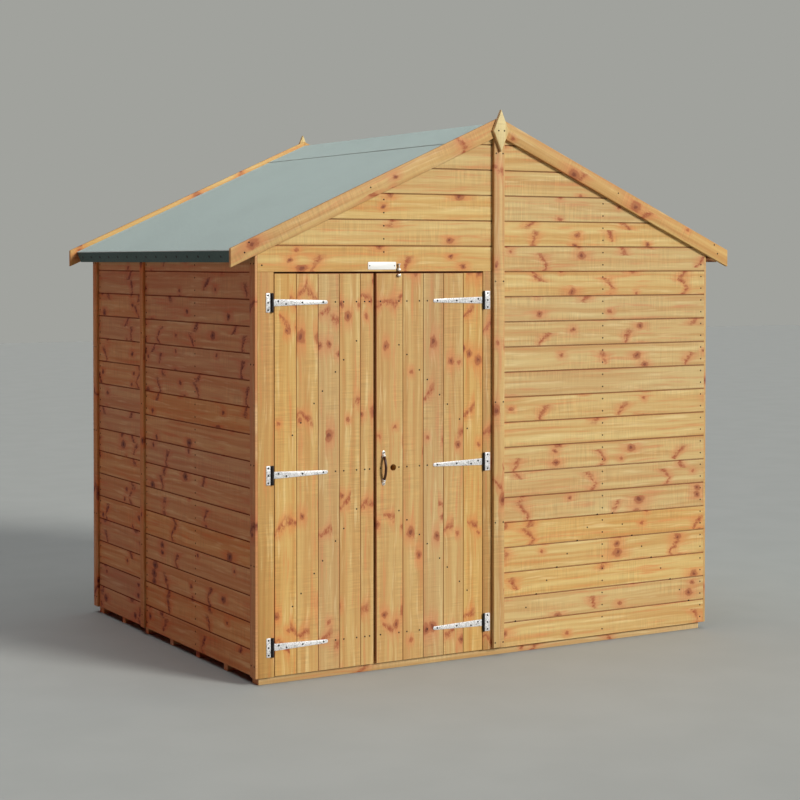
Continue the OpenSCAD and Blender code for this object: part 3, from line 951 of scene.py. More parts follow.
@dataclass
class Trims:
    """Cover strips, corner trims, bargeboards and finials."""

    finishes: Finishes
    layout: Layout
    arris: float = 0.002
    corner_w: float = 0.053
    finial_t: float = 0.016

    def finish(self, strip: bpy.types.Object, along: Sequence[float], across: Sequence[float],
               seed: int, material: bpy.types.Material | None = None) -> bpy.types.Object:
        """Softens, paints and dresses one trim.

        Args:
            strip: The trim.
            along: The direction of its grain.
            across: The direction across it.
            seed: Seed of its looks.
            material: Its finish, or None for the usual one.

        Returns:
            The same trim.
        """
        soften(strip, self.arris)
        paint_grain(strip, along, across, lambda c: 0.0, seed)
        dress(strip, material or self.finishes.trim)
        return strip

    def gable_strips(self) -> None:
        """Builds the centre strip of both gables, peaked under the bargeboards."""
        low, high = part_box("gable_cover_strips")
        made = []
        for seed, end in enumerate((-1, 1)):
            inner, outer = self.layout.gable_y * end, (low.y if end < 0 else high.y)
            y0, y1 = min(inner, outer), max(inner, outer)
            strip = add_box("strip", (low.x, y0, low.z), (high.x, y1, high.z))
            for side in (-1, 1):
                cut(strip, (0, 0, high.z), (side * self.layout.slope, 0, 1))
            made.append(self.finish(strip, (0, 0, 1), (1, 0, 0), 300 + seed))
        settle(join("centre_strips", made), Body.SHED, ["gable_cover_strips"])

    def side_trims(self) -> None:
        """Builds the corner trims and the strips over the side panels' joints."""
        low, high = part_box("corner_trims")
        strip_low, strip_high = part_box("side_cover_strips")
        width = self.corner_w
        corners, joints = [], []
        for index, side in enumerate((-1, 1)):
            x0, x1 = sorted((side * self.layout.side_x, side * high.x))
            spans = [(low.y, low.y + width), (high.y - width, high.y),
                     (strip_low.y, strip_high.y)]
            for number, (y0, y1) in enumerate(spans):
                piece = add_box("trim", (x0, y0, low.z), (x1, y1, high.z + 0.02))
                self.layout.under_roof(piece, side)
                # Trims on the left side take the timber with painted shade.
                self.finish(piece, (0, 0, 1), (0, 1, 0), 310 + index * 4 + number,
                            self.finishes.painted_shade_trim if side < 0 else None)
                (joints if number == 2 else corners).append(piece)
        settle(join("corner_boards", corners), Body.SHED, ["corner_trims"])
        settle(join("side_joint_strips", joints), Body.SHED, ["side_cover_strips"])

    def bargeboards(self) -> None:
        """Builds the four bargeboards, plumb-cut at both ends."""
        low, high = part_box("bargeboard_front_right")
        drop = high.x * self.layout.slope
        depth = high.z - low.z - drop
        for seed, (side, node) in enumerate((
                (1, "bargeboard_front_right"), (-1, "bargeboard_front_left"),
                (1, "bargeboard_rear_right"), (-1, "bargeboard_rear_left"))):
            low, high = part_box(node)
            board = add_box(node + "_plank", (low.x, low.y, high.z - depth), high)
            tip = high.x if side > 0 else low.x
            with edit_mode(board) as mesh:
                select_points(board, mesh, lambda p: abs(p.x - tip) < TOUCH)
                bpy.ops.transform.translate(value=(0, 0, -drop))
            along = Vector((side, 0, -self.layout.slope))
            self.finish(board, along, along.cross(Vector((0, 1, 0))), 330 + seed)
            settle(board, Body.SHED, [node])

    def finials(self) -> None:
        """Builds the two diamond finials with chamfered faces."""
        low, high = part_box("finials")
        thick = self.finial_t
        middle = (low.z + high.z) / 2
        half_w, half_h = high.x, (high.z - low.z) / 2
        made = []
        for seed, end in enumerate((-1, 1)):
            y0 = low.y if end < 0 else high.y - thick
            block = add_box("finial", (low.x, y0, low.z), (high.x, y0 + thick, high.z))
            for sx in (-1, 1):
                for sz in (-1, 1):
                    cut(block, (sx * half_w, 0, middle), (sx * half_h, 0, sz * half_w))
            front = y0 if end < 0 else y0 + thick
            bevel_points(block, lambda p: abs(p.y - front) < TOUCH, 0.0025, 1)
            soften(block, 0.0006, 1)
            paint_grain(block, (0, 0, 1), (1, 0, 0), lambda c: 0.0, 340 + seed)
            dress(block, self.finishes.cream)
            made.append(block)
        settle(join("finial_diamonds", made), Body.SHED, ["finials"])

    def build(self) -> None:
        """Builds every trim."""
        self.gable_strips()
        self.side_trims()
        self.bargeboards()
        self.finials()


# ---------------------------------------------------------------- roof and base


@dataclass
class Roof:
    """Roof boards, felt with its folded eaves and nails, and the ridge cap."""

    finishes: Finishes
    layout: Layout
    board_w: float = 0.112
    felt_t: float = 0.0015
    fold_r: float = 0.004
    nail_count: int = 16
    cap_lift: float = 0.0006

    def boards(self) -> None:
        """Builds the boards that run down each slope, square-cut inside the felt's fold."""
        for seed, (side, node) in enumerate(((1, "roof_boards_right"), (-1, "roof_boards_left"))):
            low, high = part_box(node)
            count = math.ceil((high.y - low.y) / self.board_w)
            width = (high.y - low.y) / count
            reach = high.x if side > 0 else -low.x
            thick = self.layout.roof_t - (self.layout.ridge_z - high.z)
            drop = reach * self.layout.slope
            x0, x1 = (0, reach) if side > 0 else (-reach, 0)
            board = add_box(node + "_planks", (x0, low.y, high.z - thick),
                            (x1, low.y + width - BOARD_GAP, high.z))
            with edit_mode(board) as mesh:
                select_points(board, mesh, lambda p: abs(p.x - side * reach) < TOUCH)
                bpy.ops.transform.translate(value=(0, 0, -drop))
            along = Vector((side, 0, -self.layout.slope))
            end = reach - self.felt_t - TOUCH
            cut(board, (side * end, 0, high.z - drop), along)
            soften(board, 0.001, 1)
            repeat(board, count, (0, width, 0))
            paint_grain(board, along, (0, 1, 0),
                        lambda c: math.floor((c.y - low.y) / width), 400 + seed)
            settle(board, Body.SHED, [node], self.finishes.inside)

    def felt(self) -> None:
        """Builds the felt of each slope: one sheet, folded down over the eaves."""
        for side, node in ((1, "felt_right"), (-1, "felt_left")):
            low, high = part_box(node)
            down = Vector((side, 0, -self.layout.slope)).normalized()
            inward = Vector((-side * abs(down.z), 0, -abs(down.x)))
            eave = Vector((high.x if side > 0 else low.x, 0, 0))
            eave.z = self.layout.roof_z(eave.x)
            depth = (eave.z - low.z) / abs(inward.z)
            deselect_all()
            bpy.ops.mesh.primitive_plane_add(size=1, location=(0, 0, 0))
            sheet = bpy.context.active_object
            sheet.name = node + "_sheet"
            sheet.scale = (0.2, high.y - low.y, 1)
            apply_place(sheet)
            with edit_mode(sheet) as mesh:
                select_points(sheet, mesh, lambda p: p.x * side < 0)
                bpy.ops.transform.translate(value=(side * 0.1, 0, self.layout.ridge_z))
                select_points(sheet, mesh, lambda p: p.z < self.layout.ridge_z / 2)
                bpy.ops.transform.translate(value=(eave.x - side * 0.1, 0, eave.z))
                bpy.ops.mesh.extrude_region_move(
                    TRANSFORM_OT_translate={"value": inward * depth})
                bpy.ops.mesh.select_all(action="SELECT")
                bpy.ops.mesh.normals_make_consistent(inside=False)
            self.face_up(sheet)
            thicken(sheet, self.felt_t, -1.0)
            near = self.fold_r + 0.0005
            bevel_points(sheet, lambda p: abs(p.x - eave.x) < near and abs(p.z - eave.z) < near,
                         self.fold_r, 4)
            shade(sheet, 60)
            sheet.data.materials.append(self.finishes.felt)
            sheet.data.materials.append(self.finishes.felt_edge_painted_shade)
            # The folded face below the eaves takes the darker copy: painted shade.
            for face in sheet.data.polygons:
                if face.center.z < eave.z - 0.003 and abs(face.center.x) > abs(eave.x) - 0.03:
                    face.material_index = 1
            settle(sheet, Body.SHED, [node])
            self.eaves_nails(side, eave, inward, depth)

    @staticmethod
    def face_up(sheet: bpy.types.Object) -> None:
        """Turns a sheet's faces over if they look down."""
        slope = max(sheet.data.polygons, key=lambda f: f.area)
        if slope.normal.z < 0:
            with edit_mode(sheet, select_all=True):
                bpy.ops.mesh.flip_normals()

    def eaves_nails(self, side: int, eave: Vector, inward: Vector, depth: float) -> None:
        """Builds the row of flat nails along the folded felt.

        Args:
            side: 1 for the right-hand eaves, -1 for the left.
            eave: The top of the fold.
            inward: The way down the folded edge.
            depth: The depth of the folded edge.
        """
        out = Vector((side, 0, -self.layout.slope)).normalized()
        pitch = 2 * self.layout.gable_y / self.nail_count
        place = eave + inward * depth * 0.52
        place.y = -self.layout.gable_y + pitch / 2
        nail = add_rod("felt_nails_" + ("right" if side > 0 else "left"), place, out,
                       0.0055, 0.0016, 10)
        repeat(nail, self.nail_count, (0, pitch, 0))
        settle(nail, Body.SHED, (), self.finishes.black)

    def cap(self) -> None:
        """Builds the felt cap over the ridge."""
        low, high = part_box("ridge_felt")
        deselect_all()
        bpy.ops.mesh.primitive_grid_add(x_subdivisions=2, y_subdivisions=40, size=1)
        sheet = bpy.context.active_object
        sheet.name = "ridge_felt_cap"
        sheet.scale = (high.x - low.x, high.y - low.y, 1)
        apply_place(sheet)
        edge = self.layout.roof_z(high.x) - self.layout.ridge_z
        with edit_mode(sheet, select_all=True) as mesh:
            bpy.ops.transform.translate(value=(0, 0, self.layout.ridge_z + 0.0001))
            select_points(sheet, mesh, lambda p: abs(p.x) > TOUCH)
            bpy.ops.transform.translate(value=(0, 0, edge + self.cap_lift))
            bpy.ops.transform.vertex_random(offset=0.0008, seed=77)
        self.face_up(sheet)
        thicken(sheet, self.felt_t, 1.0)
        shade(sheet, 20)
        settle(sheet, Body.SHED, ["ridge_felt"], self.finishes.felt)

    def build(self) -> None:
        """Builds the whole roof."""
        self.boards()
        self.felt()
        self.cap()


@dataclass
class Base:
    """Bearers and floor boards, and the sawn frame that stays as it is."""

    finishes: Finishes
    board_w: float = 0.112
    bearer_count: int = 7
    end_w: float = 0.060
    inner_w: float = 0.038

    def bearers(self) -> None:
        """Builds the bearers with softened edges."""
        low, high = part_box("bearers")
        last = self.bearer_count - 1
        pitch = (high.y - low.y - self.end_w) / last
        made = []
        for number in range(self.bearer_count):
            width = self.end_w if number in (0, last) else self.inner_w
            y = low.y + self.end_w / 2 + number * pitch
            beam = add_box("bearer", (low.x, y - width / 2, low.z), (high.x, y + width / 2, high.z))
            soften(beam, 0.0015)
            paint_grain(beam, (1, 0, 0), (0, 0, 1), lambda c: 0.0, 500 + number)
            dress(beam, self.finishes.inside)
            made.append(beam)
        settle(join("bearer_beams", made), Body.SHED, ["bearers"])

    def floor(self) -> None:
        """Builds the floor's boards, which run from front to back."""
        low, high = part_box("floor_boards")
        count = round((high.x - low.x) / self.board_w)
        width = (high.x - low.x) / count
        board = add_box("floor_planks", low, (low.x + width - BOARD_GAP, high.y, high.z))
        soften(board, 0.0012)
        repeat(board, count, (width, 0, 0))
        paint_grain(board, (0, 1, 0), (1, 0, 0), lambda c: math.floor((c.x - low.x) / width), 520)
        settle(board, Body.SHED, ["floor_boards"], self.finishes.inside)

    def frame(self, nodes: dict[str, bpy.types.Object]) -> None:
        """Dresses the sawn studs, rails, rafters and battens.

        Args:
            nodes: The model's own objects.
        """
        for node in ("side_studs", "gable_studs"):
            dress(nodes[node], self.finishes.posts)
        for node in ("gable_rails", "rafters"):
            dress(nodes[node], self.finishes.beams)
        for node in ("side_rails", "roof_battens"):
            dress(nodes[node], self.finishes.plates)

    def build(self, nodes: dict[str, bpy.types.Object]) -> None:
        """Builds the base and dresses the frame."""
        self.bearers()
        self.floor()
        self.frame(nodes)


# ---------------------------------------------------------------- doors and fittings


@dataclass
class DoorLeaf:
    """One boarded door with its ledges."""

    name: str
    body: Body
    edges: Sequence[float]
    finishes: Finishes
    seed: int
    groove: float = 0.0022
    arris: float = 0.0012
    chamfer: float = 0.004
    tuck: float = 0.0028
    ledge_h: float = 0.090

    def boards(self, hole: bpy.types.Object | None) -> None:
        """Builds the upright boards with V-joints.

        Args:
            hole: A tool for the lock hole, or None.
        """
        low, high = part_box(self.name + "_boards")
        left = self.body is Body.LEFT_DOOR
        cuts = [low.x - self.tuck, *self.edges, high.x + self.tuck]
        fixed, free = (cuts[0], cuts[-1]) if left else (cuts[-1], cuts[0])
        made = []
        for x0, x1 in zip(cuts, cuts[1:]):
            x1 -= 0.0004 if x1 in self.edges else 0.0
            board = add_box("board", (x0, low.y, low.z), (x1, high.y, high.z))
            for edge in (x0, x1):
                width = {fixed: self.arris, free: self.chamfer}.get(edge, self.groove)
                bevel_points(board, lambda p: abs(p.y - low.y) < TOUCH and abs(p.x - edge) < TOUCH,
                             width, 1)
            bevel_points(board, lambda p: abs(p.y - low.y) < TOUCH and abs(p.z - high.z) < TOUCH,
                         self.groove, 1)
            made.append(board)
        leaf = join(self.name + "_planks", made)
        if hole is not None:
            drill(leaf, hole)
        # painted shade: full on the free edge's chamfer and the top groove, a third on the
        # V-grooves, none on flat faces and sides
        paint_grain(leaf, (0, 0, 1), (1, 0, 0), lambda c: sum(c.x > edge for edge in self.edges),
                    self.seed, lambda f: 0.0 if not 0.2 < abs(f.normal.y) < 0.95
                    else 1.0 if abs(f.center.x - free) < self.chamfer
                    or f.center.z > high.z - self.groove else 0.35)
        settle(leaf, self.body, [self.name + "_boards"], self.finishes.doors)

    def ledges(self, hole: bpy.types.Object | None) -> None:
        """Builds the three ledges on the back.

        Args:
            hole: A tool for the lock hole, or None.
        """
        low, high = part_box(self.name + "_ledges")
        step = (high.z - low.z - self.ledge_h) / 2
        made = []
        for number in range(3):
            z0 = low.z + number * step
            ledge = add_box("ledge", (low.x, low.y, z0), (high.x, high.y, z0 + self.ledge_h))
            bevel_points(ledge, lambda p: abs(p.y - high.y) < TOUCH, 0.004, 1)
            made.append(ledge)
        ledges = join(self.name + "_ledge_bars", made)
        if hole is not None:
            drill(ledges, hole)
        paint_grain(ledges, (1, 0, 0), (0, 0, 1), lambda c: round((c.z - low.z) / step),
                    self.seed + 20)
        settle(ledges, self.body, [self.name + "_ledges"], self.finishes.inside)


@dataclass
class Hinge:
    """A T-hinge: fixed leaf, three knuckles, pin and tapered strap."""

    finishes: Finishes
    side: int
    pin: Vector
    face_y: float
    plate: float
    strap_end: float
    height: float = 0.081
    root_h: float = 0.030
    tip_h: float = 0.015
    # Width of the black strip beside the knuckle: black steel, and painted shade of the knuckle.
    black_and_painted_shade_w: float = 0.0085
    neck_h: float = 0.025
    thick: float = 0.0026
    knuckle_r: float = 0.005
    pin_r: float = 0.0025
    screw_r: float = 0.0041

    def strap(self) -> bpy.types.Object:
        """Builds the strap with its rounded tip.

        Returns:
            The strap.
        """
        root = self.pin.x + self.side * self.black_and_painted_shade_w
        x0, x1 = sorted((root, self.strap_end))
        z = self.pin.z
        strap = add_box("strap", (x0, self.face_y - self.thick, z - self.root_h / 2),
                        (x1, self.face_y, z + self.root_h / 2))
        with edit_mode(strap) as mesh:
            select_points(strap, mesh, lambda p: abs(p.x - self.strap_end) < TOUCH)
            bpy.ops.transform.resize(value=(1, 1, self.tip_h / self.root_h),
                                     center_override=(self.strap_end, self.face_y, z))
        for sign in (-1, 1):
            edge = z + sign * self.tip_h / 2
            bevel_points(strap, lambda p: abs(p.x - self.strap_end) < TOUCH
                         and abs(p.z - edge) < TOUCH, self.tip_h * 0.42, 5)
        soften(strap, 0.0006, 2)
        x0, x1 = sorted((self.pin.x, root))
        # The neck is that black strip: partly black steel, partly painted shade.
        neck = add_box("neck", (x0, self.face_y - self.thick, z - self.neck_h / 2),
                       (x1, self.face_y, z + self.neck_h / 2))
        dress(strap, self.finishes.zinc)
        dress(neck, self.finishes.black)
        return join("strap", [strap, neck, self.knuckle(z - self.neck_h / 2, self.neck_h)])

    def knuckle(self, z: float, height: float) -> bpy.types.Object:
        """Builds one knuckle.

        Args:
            z: Its lower end.
            height: Its height.

        Returns:
            The knuckle.
        """
        knuckle = add_rod("knuckle", (self.pin.x, self.pin.y, z), (0, 0, 1),
                          self.knuckle_r, height, 20)
        soften(knuckle, 0.0006, 2)
        dress(knuckle, self.finishes.black)
        return knuckle

    def leaf(self) -> bpy.types.Object:
        """Builds the fixed leaf, its two knuckles and the pin.

        Returns:
            The leaf.
        """
        z = self.pin.z
        inner = self.pin.x - self.side * self.black_and_painted_shade_w
        low, high = z - self.height / 2, z + 0.0135
        parts = []
        # The leaf's inner part is that black strip: partly black steel, partly painted shade.
        for start, end, finish in ((self.plate, inner, self.finishes.zinc),
                                   (inner, self.pin.x - self.side * 0.003, self.finishes.black)):
            x0, x1 = sorted((start, end))
            parts.append(add_box("plate", (x0, self.face_y - self.thick, low),
                                 (x1, self.face_y, low + self.height)))
            soften(parts[-1], 0.0006, 2)
            dress(parts[-1], finish)
        part = self.height / 3 - 0.0005
        pin = add_rod("pin", (self.pin.x, self.pin.y, z - self.height / 2 - 0.0006), (0, 0, 1),
                      self.pin_r, self.height + 0.0012, 16)
        dress(pin, self.finishes.black)
        return join("leaf", [*parts, self.knuckle(low, part), self.knuckle(high, part), pin])

    def screws(self, on_strap: bool) -> list[bpy.types.Object]:
        """Builds the screws of the strap or of the fixed leaf.

        Args:
            on_strap: True for the strap's screws.

        Returns:
            The screws.
        """
        z = self.pin.z
        if on_strap:
            length = abs(self.strap_end - self.pin.x)
            places = [(self.pin.x + self.side * share * length, z + rise)
                      for share, rise in ((0.11, 0.006), (0.25, -0.006), (0.54, 0.0), (0.92, 0.0))]
        else:
            x = (self.plate + self.pin.x - self.side * self.black_and_painted_shade_w) / 2
            places = [(x, z + rise) for rise in (-0.031, 0.0, 0.031)]
        return [add_screw((x, self.face_y - self.thick, zz), self.screw_r, self.finishes)
                for x, zz in places]


def add_screw(place: Sequence[float], radius: float, finishes: Finishes) -> bpy.types.Object:
    """Builds a domed screw with a cross slot on a front face.

    Args:
        place: The middle of its head on the face.
        radius: The head's radius.
        finishes: The shed's finishes.

    Returns:
        The screw.
    """
    head = add_rod("screw", place, (0, -1, 0), radius, 0.0014, 12)
    front = place[1] - 0.0014
    bevel_points(head, lambda p: abs(p.y - front) < TOUCH, 0.0009, 2)
    for long_axis in (0, 2):
        half = [0.0004, 0.0005, 0.0004]
        half[long_axis] = radius * 0.62
        slot = add_box("slot", [place[0] - half[0], front - 0.0005, place[2] - half[2]],
                       [place[0] + half[0], front + 0.0007, place[2] + half[2]])
        drill(head, slot)
    dress(head, finishes.screw)
    return head


@dataclass
class Fittings:
    """Hinges, handle, bolt and the blank name plate."""

    finishes: Finishes
    layout: Layout
    foot_h: float = 0.032
    bow_r: float = 0.0058
    loop_w: float = 0.014
    bore_r: float = 0.0033
    rod_r: float = 0.0028
    knob_r: float = 0.0065
    knob_h: float = 0.0038

    def hinges(self) -> None:
        """Builds the six hinges on the walls and on both doors."""
        leaf_low, leaf_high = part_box("hinge_plates")
        face_y = -self.layout.gable_y
        leaves: list[bpy.types.Object] = []
        for side, body, node in ((1, Body.LEFT_DOOR, "left_door_straps"),
                                 (-1, Body.RIGHT_DOOR, "right_door_straps")):
            low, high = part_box(node)
            root, tip = (low.x, high.x) if side > 0 else (high.x, low.x)
            pin_x = root + side * 0.005
            outer = leaf_low.x if side > 0 else leaf_high.x
            straps: list[bpy.types.Object] = []
            half = Hinge.root_h / 2
            heights = [low.z + half, (low.z + high.z) / 2, high.z - half]
            for z in heights:
                hinge = Hinge(self.finishes, side, Vector((pin_x, low.y + 0.005, z)), face_y,
                              outer, tip)
                straps += [hinge.strap(), *hinge.screws(True)]
                leaves += [hinge.leaf(), *hinge.screws(False)]
            settle(join(node + "_plated", straps), body, [node])
        settle(join("hinge_leaves", leaves), Body.SHED, ["hinge_plates"])

    def foot(self, place: Vector, size: tuple[float, float], way: int) -> list[bpy.types.Object]:
        """Builds one bright end of the handle: its plate, a bead, a collar and a screw.

        Args:
            place: The middle of the plate on the door's face.
            size: The plate's width and height.
            way: 1 for the upper end, -1 for the lower.

        Returns:
            The parts.
        """
        width, height = size
        low = (place.x - width / 2, place.y - 0.003, place.z - height / 2)
        high = (place.x + width / 2, place.y, place.z + height / 2)
        plate = add_box("plate", low, high)
        round_corners(plate, low, high, width * 0.46, 6)
        soften(plate, 0.0010, 2)
        collar = add_rod("collar", place + Vector((0, -0.001, 0)), (0, -0.75, -way * 0.66),
                         0.0070, 0.013, 20)
        soften(collar, 0.0018, 3)
        bead = add_rod("bead", place + Vector((0, -0.002, way * 0.0085)), (0, -1, 0),
                       0.0052, 0.0045, 20)
        soften(bead, 0.0016, 3)
        for part in (plate, collar, bead):
            dress(part, self.finishes.bright)
        screw = add_screw(place + Vector((0, -0.0065, way * 0.0085)), 0.0030, self.finishes)
        return [plate, collar, bead, screw]

    def handle(self) -> None:
        """Builds the bow handle with its two bright ends."""
        low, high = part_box("door_handle")
        face = Vector(((low.x + high.x) / 2, -self.layout.gable_y, (low.z + high.z) / 2))
        span = high.z - low.z - self.foot_h
        rise = face.y - low.y - self.bow_r
        radius = ((span / 2) ** 2 + rise ** 2) / (2 * rise)
        deselect_all()
        bpy.ops.mesh.primitive_torus_add(
            location=(face.x, face.y + radius - rise, face.z), rotation=(0, math.pi / 2, 0),
            major_radius=radius, minor_radius=self.bow_r, major_segments=160, minor_segments=16)
        bow = bpy.context.active_object
        apply_place(bow)
        cut(bow, face, (0, 1, 0))
        shade(bow, 50)
        # The bow's dark brown is a painted reflection.
        dress(bow, self.finishes.painted_reflection_bow)
        parts = [bow]
        for way in (-1, 1):
            parts += self.foot(face + Vector((0, 0, way * span / 2)),
                               (high.x - low.x, self.foot_h), way)
        settle(join("bow_handle", parts), Body.RIGHT_DOOR, ["door_handle"])

    def bolt_loop(self, node: str, name: str, body: Body) -> None:
        """Builds the barrel or the keep of the bolt.

        Args:
            node: The model's node.
            name: The piece's name.
            body: The body that it moves with.
        """
        low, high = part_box(node)
        face_y = -self.layout.gable_y
        x = (low.x + high.x) / 2
        plate = add_box("plate", (low.x, face_y - 0.002, low.z), (high.x, face_y, high.z))
        soften(plate, 0.0006, 2)
        half = self.loop_w / 2
        rod_low, rod_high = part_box("bolt_shoot")
        axis_y = (rod_low.y + rod_high.y) / 2
        block = add_box("loop", (x - half, low.y, low.z + 0.001),
                        (x + half, face_y, high.z - 0.001))
        bevel_points(block, lambda p: abs(p.y - low.y) < TOUCH
                     and abs(abs(p.x - x) - half) < TOUCH, 0.0045, 5)
        drill(block, add_rod("bore", (x, axis_y, low.z - 0.01), (0, 0, 1), self.bore_r, 0.06))
        shade(block, 40)
        dress(plate, self.finishes.screw)
        dress(block, self.finishes.bright)
        settle(join(name, [plate, block]), body, [node])

    def bolt(self) -> None:
        """Builds the bolt: barrel, keep and sliding rod."""
        self.bolt_loop("bolt_body", "bolt_barrel", Body.SHED)
        self.bolt_loop("bolt_keep", "bolt_catch", Body.RIGHT_DOOR)
        low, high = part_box("bolt_shoot")
        x, y = (low.x + high.x) / 2, (low.y + high.y) / 2
        rod = add_rod("rod", (x, y, low.z), (0, 0, 1), self.rod_r, high.z - low.z, 20)
        knob = add_rod("knob", (x, y, high.z - self.knob_h), (0, 0, 1), self.knob_r,
                       self.knob_h, 24)
        for part in (rod, knob):
            soften(part, 0.0006, 2)
            dress(part, self.finishes.bright)
        settle(join("bolt_rod", [rod, knob]), Body.BOLT, ["bolt_shoot"])

    def name_plate(self) -> None:
        """Builds the blank name plate with its two screws."""
        low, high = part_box("name_plate")
        plate = add_box("plate", low, high)
        round_corners(plate, low, high, 0.004, 4)
        soften(plate, 0.0005, 2)
        dress(plate, self.finishes.white)
        middle = (low.z + high.z) / 2
        screws = [add_screw((x, low.y, middle), 0.0026, self.finishes)
                  for x in (low.x + 0.008, high.x - 0.008)]
        settle(join("blank_name_plate", [plate, *screws]), Body.SHED,
               ["name_plate"])

    def build(self) -> None:
        """Builds every fitting."""
        self.hinges()
        self.handle()
        self.bolt()
        self.name_plate()


@dataclass
class Doors:
    """Both doors with their boards, ledges and braces."""

    finishes: Finishes
    layout: Layout
    lock_off: float = 0.084
    lock_r: float = 0.0145

    def lock_tool(self) -> bpy.types.Object:
        """Builds the round tool that makes the lock hole.

        Returns:
            The tool.
        """
        low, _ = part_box("right_door_boards")
        ledge_low, ledge_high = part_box("right_door_ledges")
        z = (ledge_low.z + ledge_high.z) / 2
        return add_rod("lock_tool", (low.x + self.lock_off, -self.layout.gable_y - 0.02, z),
                       (0, 1, 0), self.lock_r, 0.09, 40)

    @staticmethod
    def board_edges() -> tuple[list[float], list[float]]:
        """Finds the joints between the boards of the left and of the right door."""
        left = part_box("left_door_boards")[0].x + 0.1
        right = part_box("right_door_boards")[1].x - 0.4085
        return ([left + 0.1025 * step for step in range(4)],
                [right + 0.1035 * step for step in range(4)])

    def build(self, nodes: dict[str, bpy.types.Object]) -> None:
        """Builds both doors.

        Args:
            nodes: The model's own objects.
        """
        left, right = self.board_edges()
        leaves = (DoorLeaf("left_door", Body.LEFT_DOOR, left, self.finishes, 600),
                  DoorLeaf("right_door", Body.RIGHT_DOOR, right, self.finishes, 650))
        for leaf in leaves:
            drilled = leaf.body is Body.RIGHT_DOOR
            leaf.boards(self.lock_tool() if drilled else None)
            leaf.ledges(self.lock_tool() if drilled else None)
            dress(nodes[leaf.name + "_braces"], self.finishes.posts)


# ---------------------------------------------------------------- nails


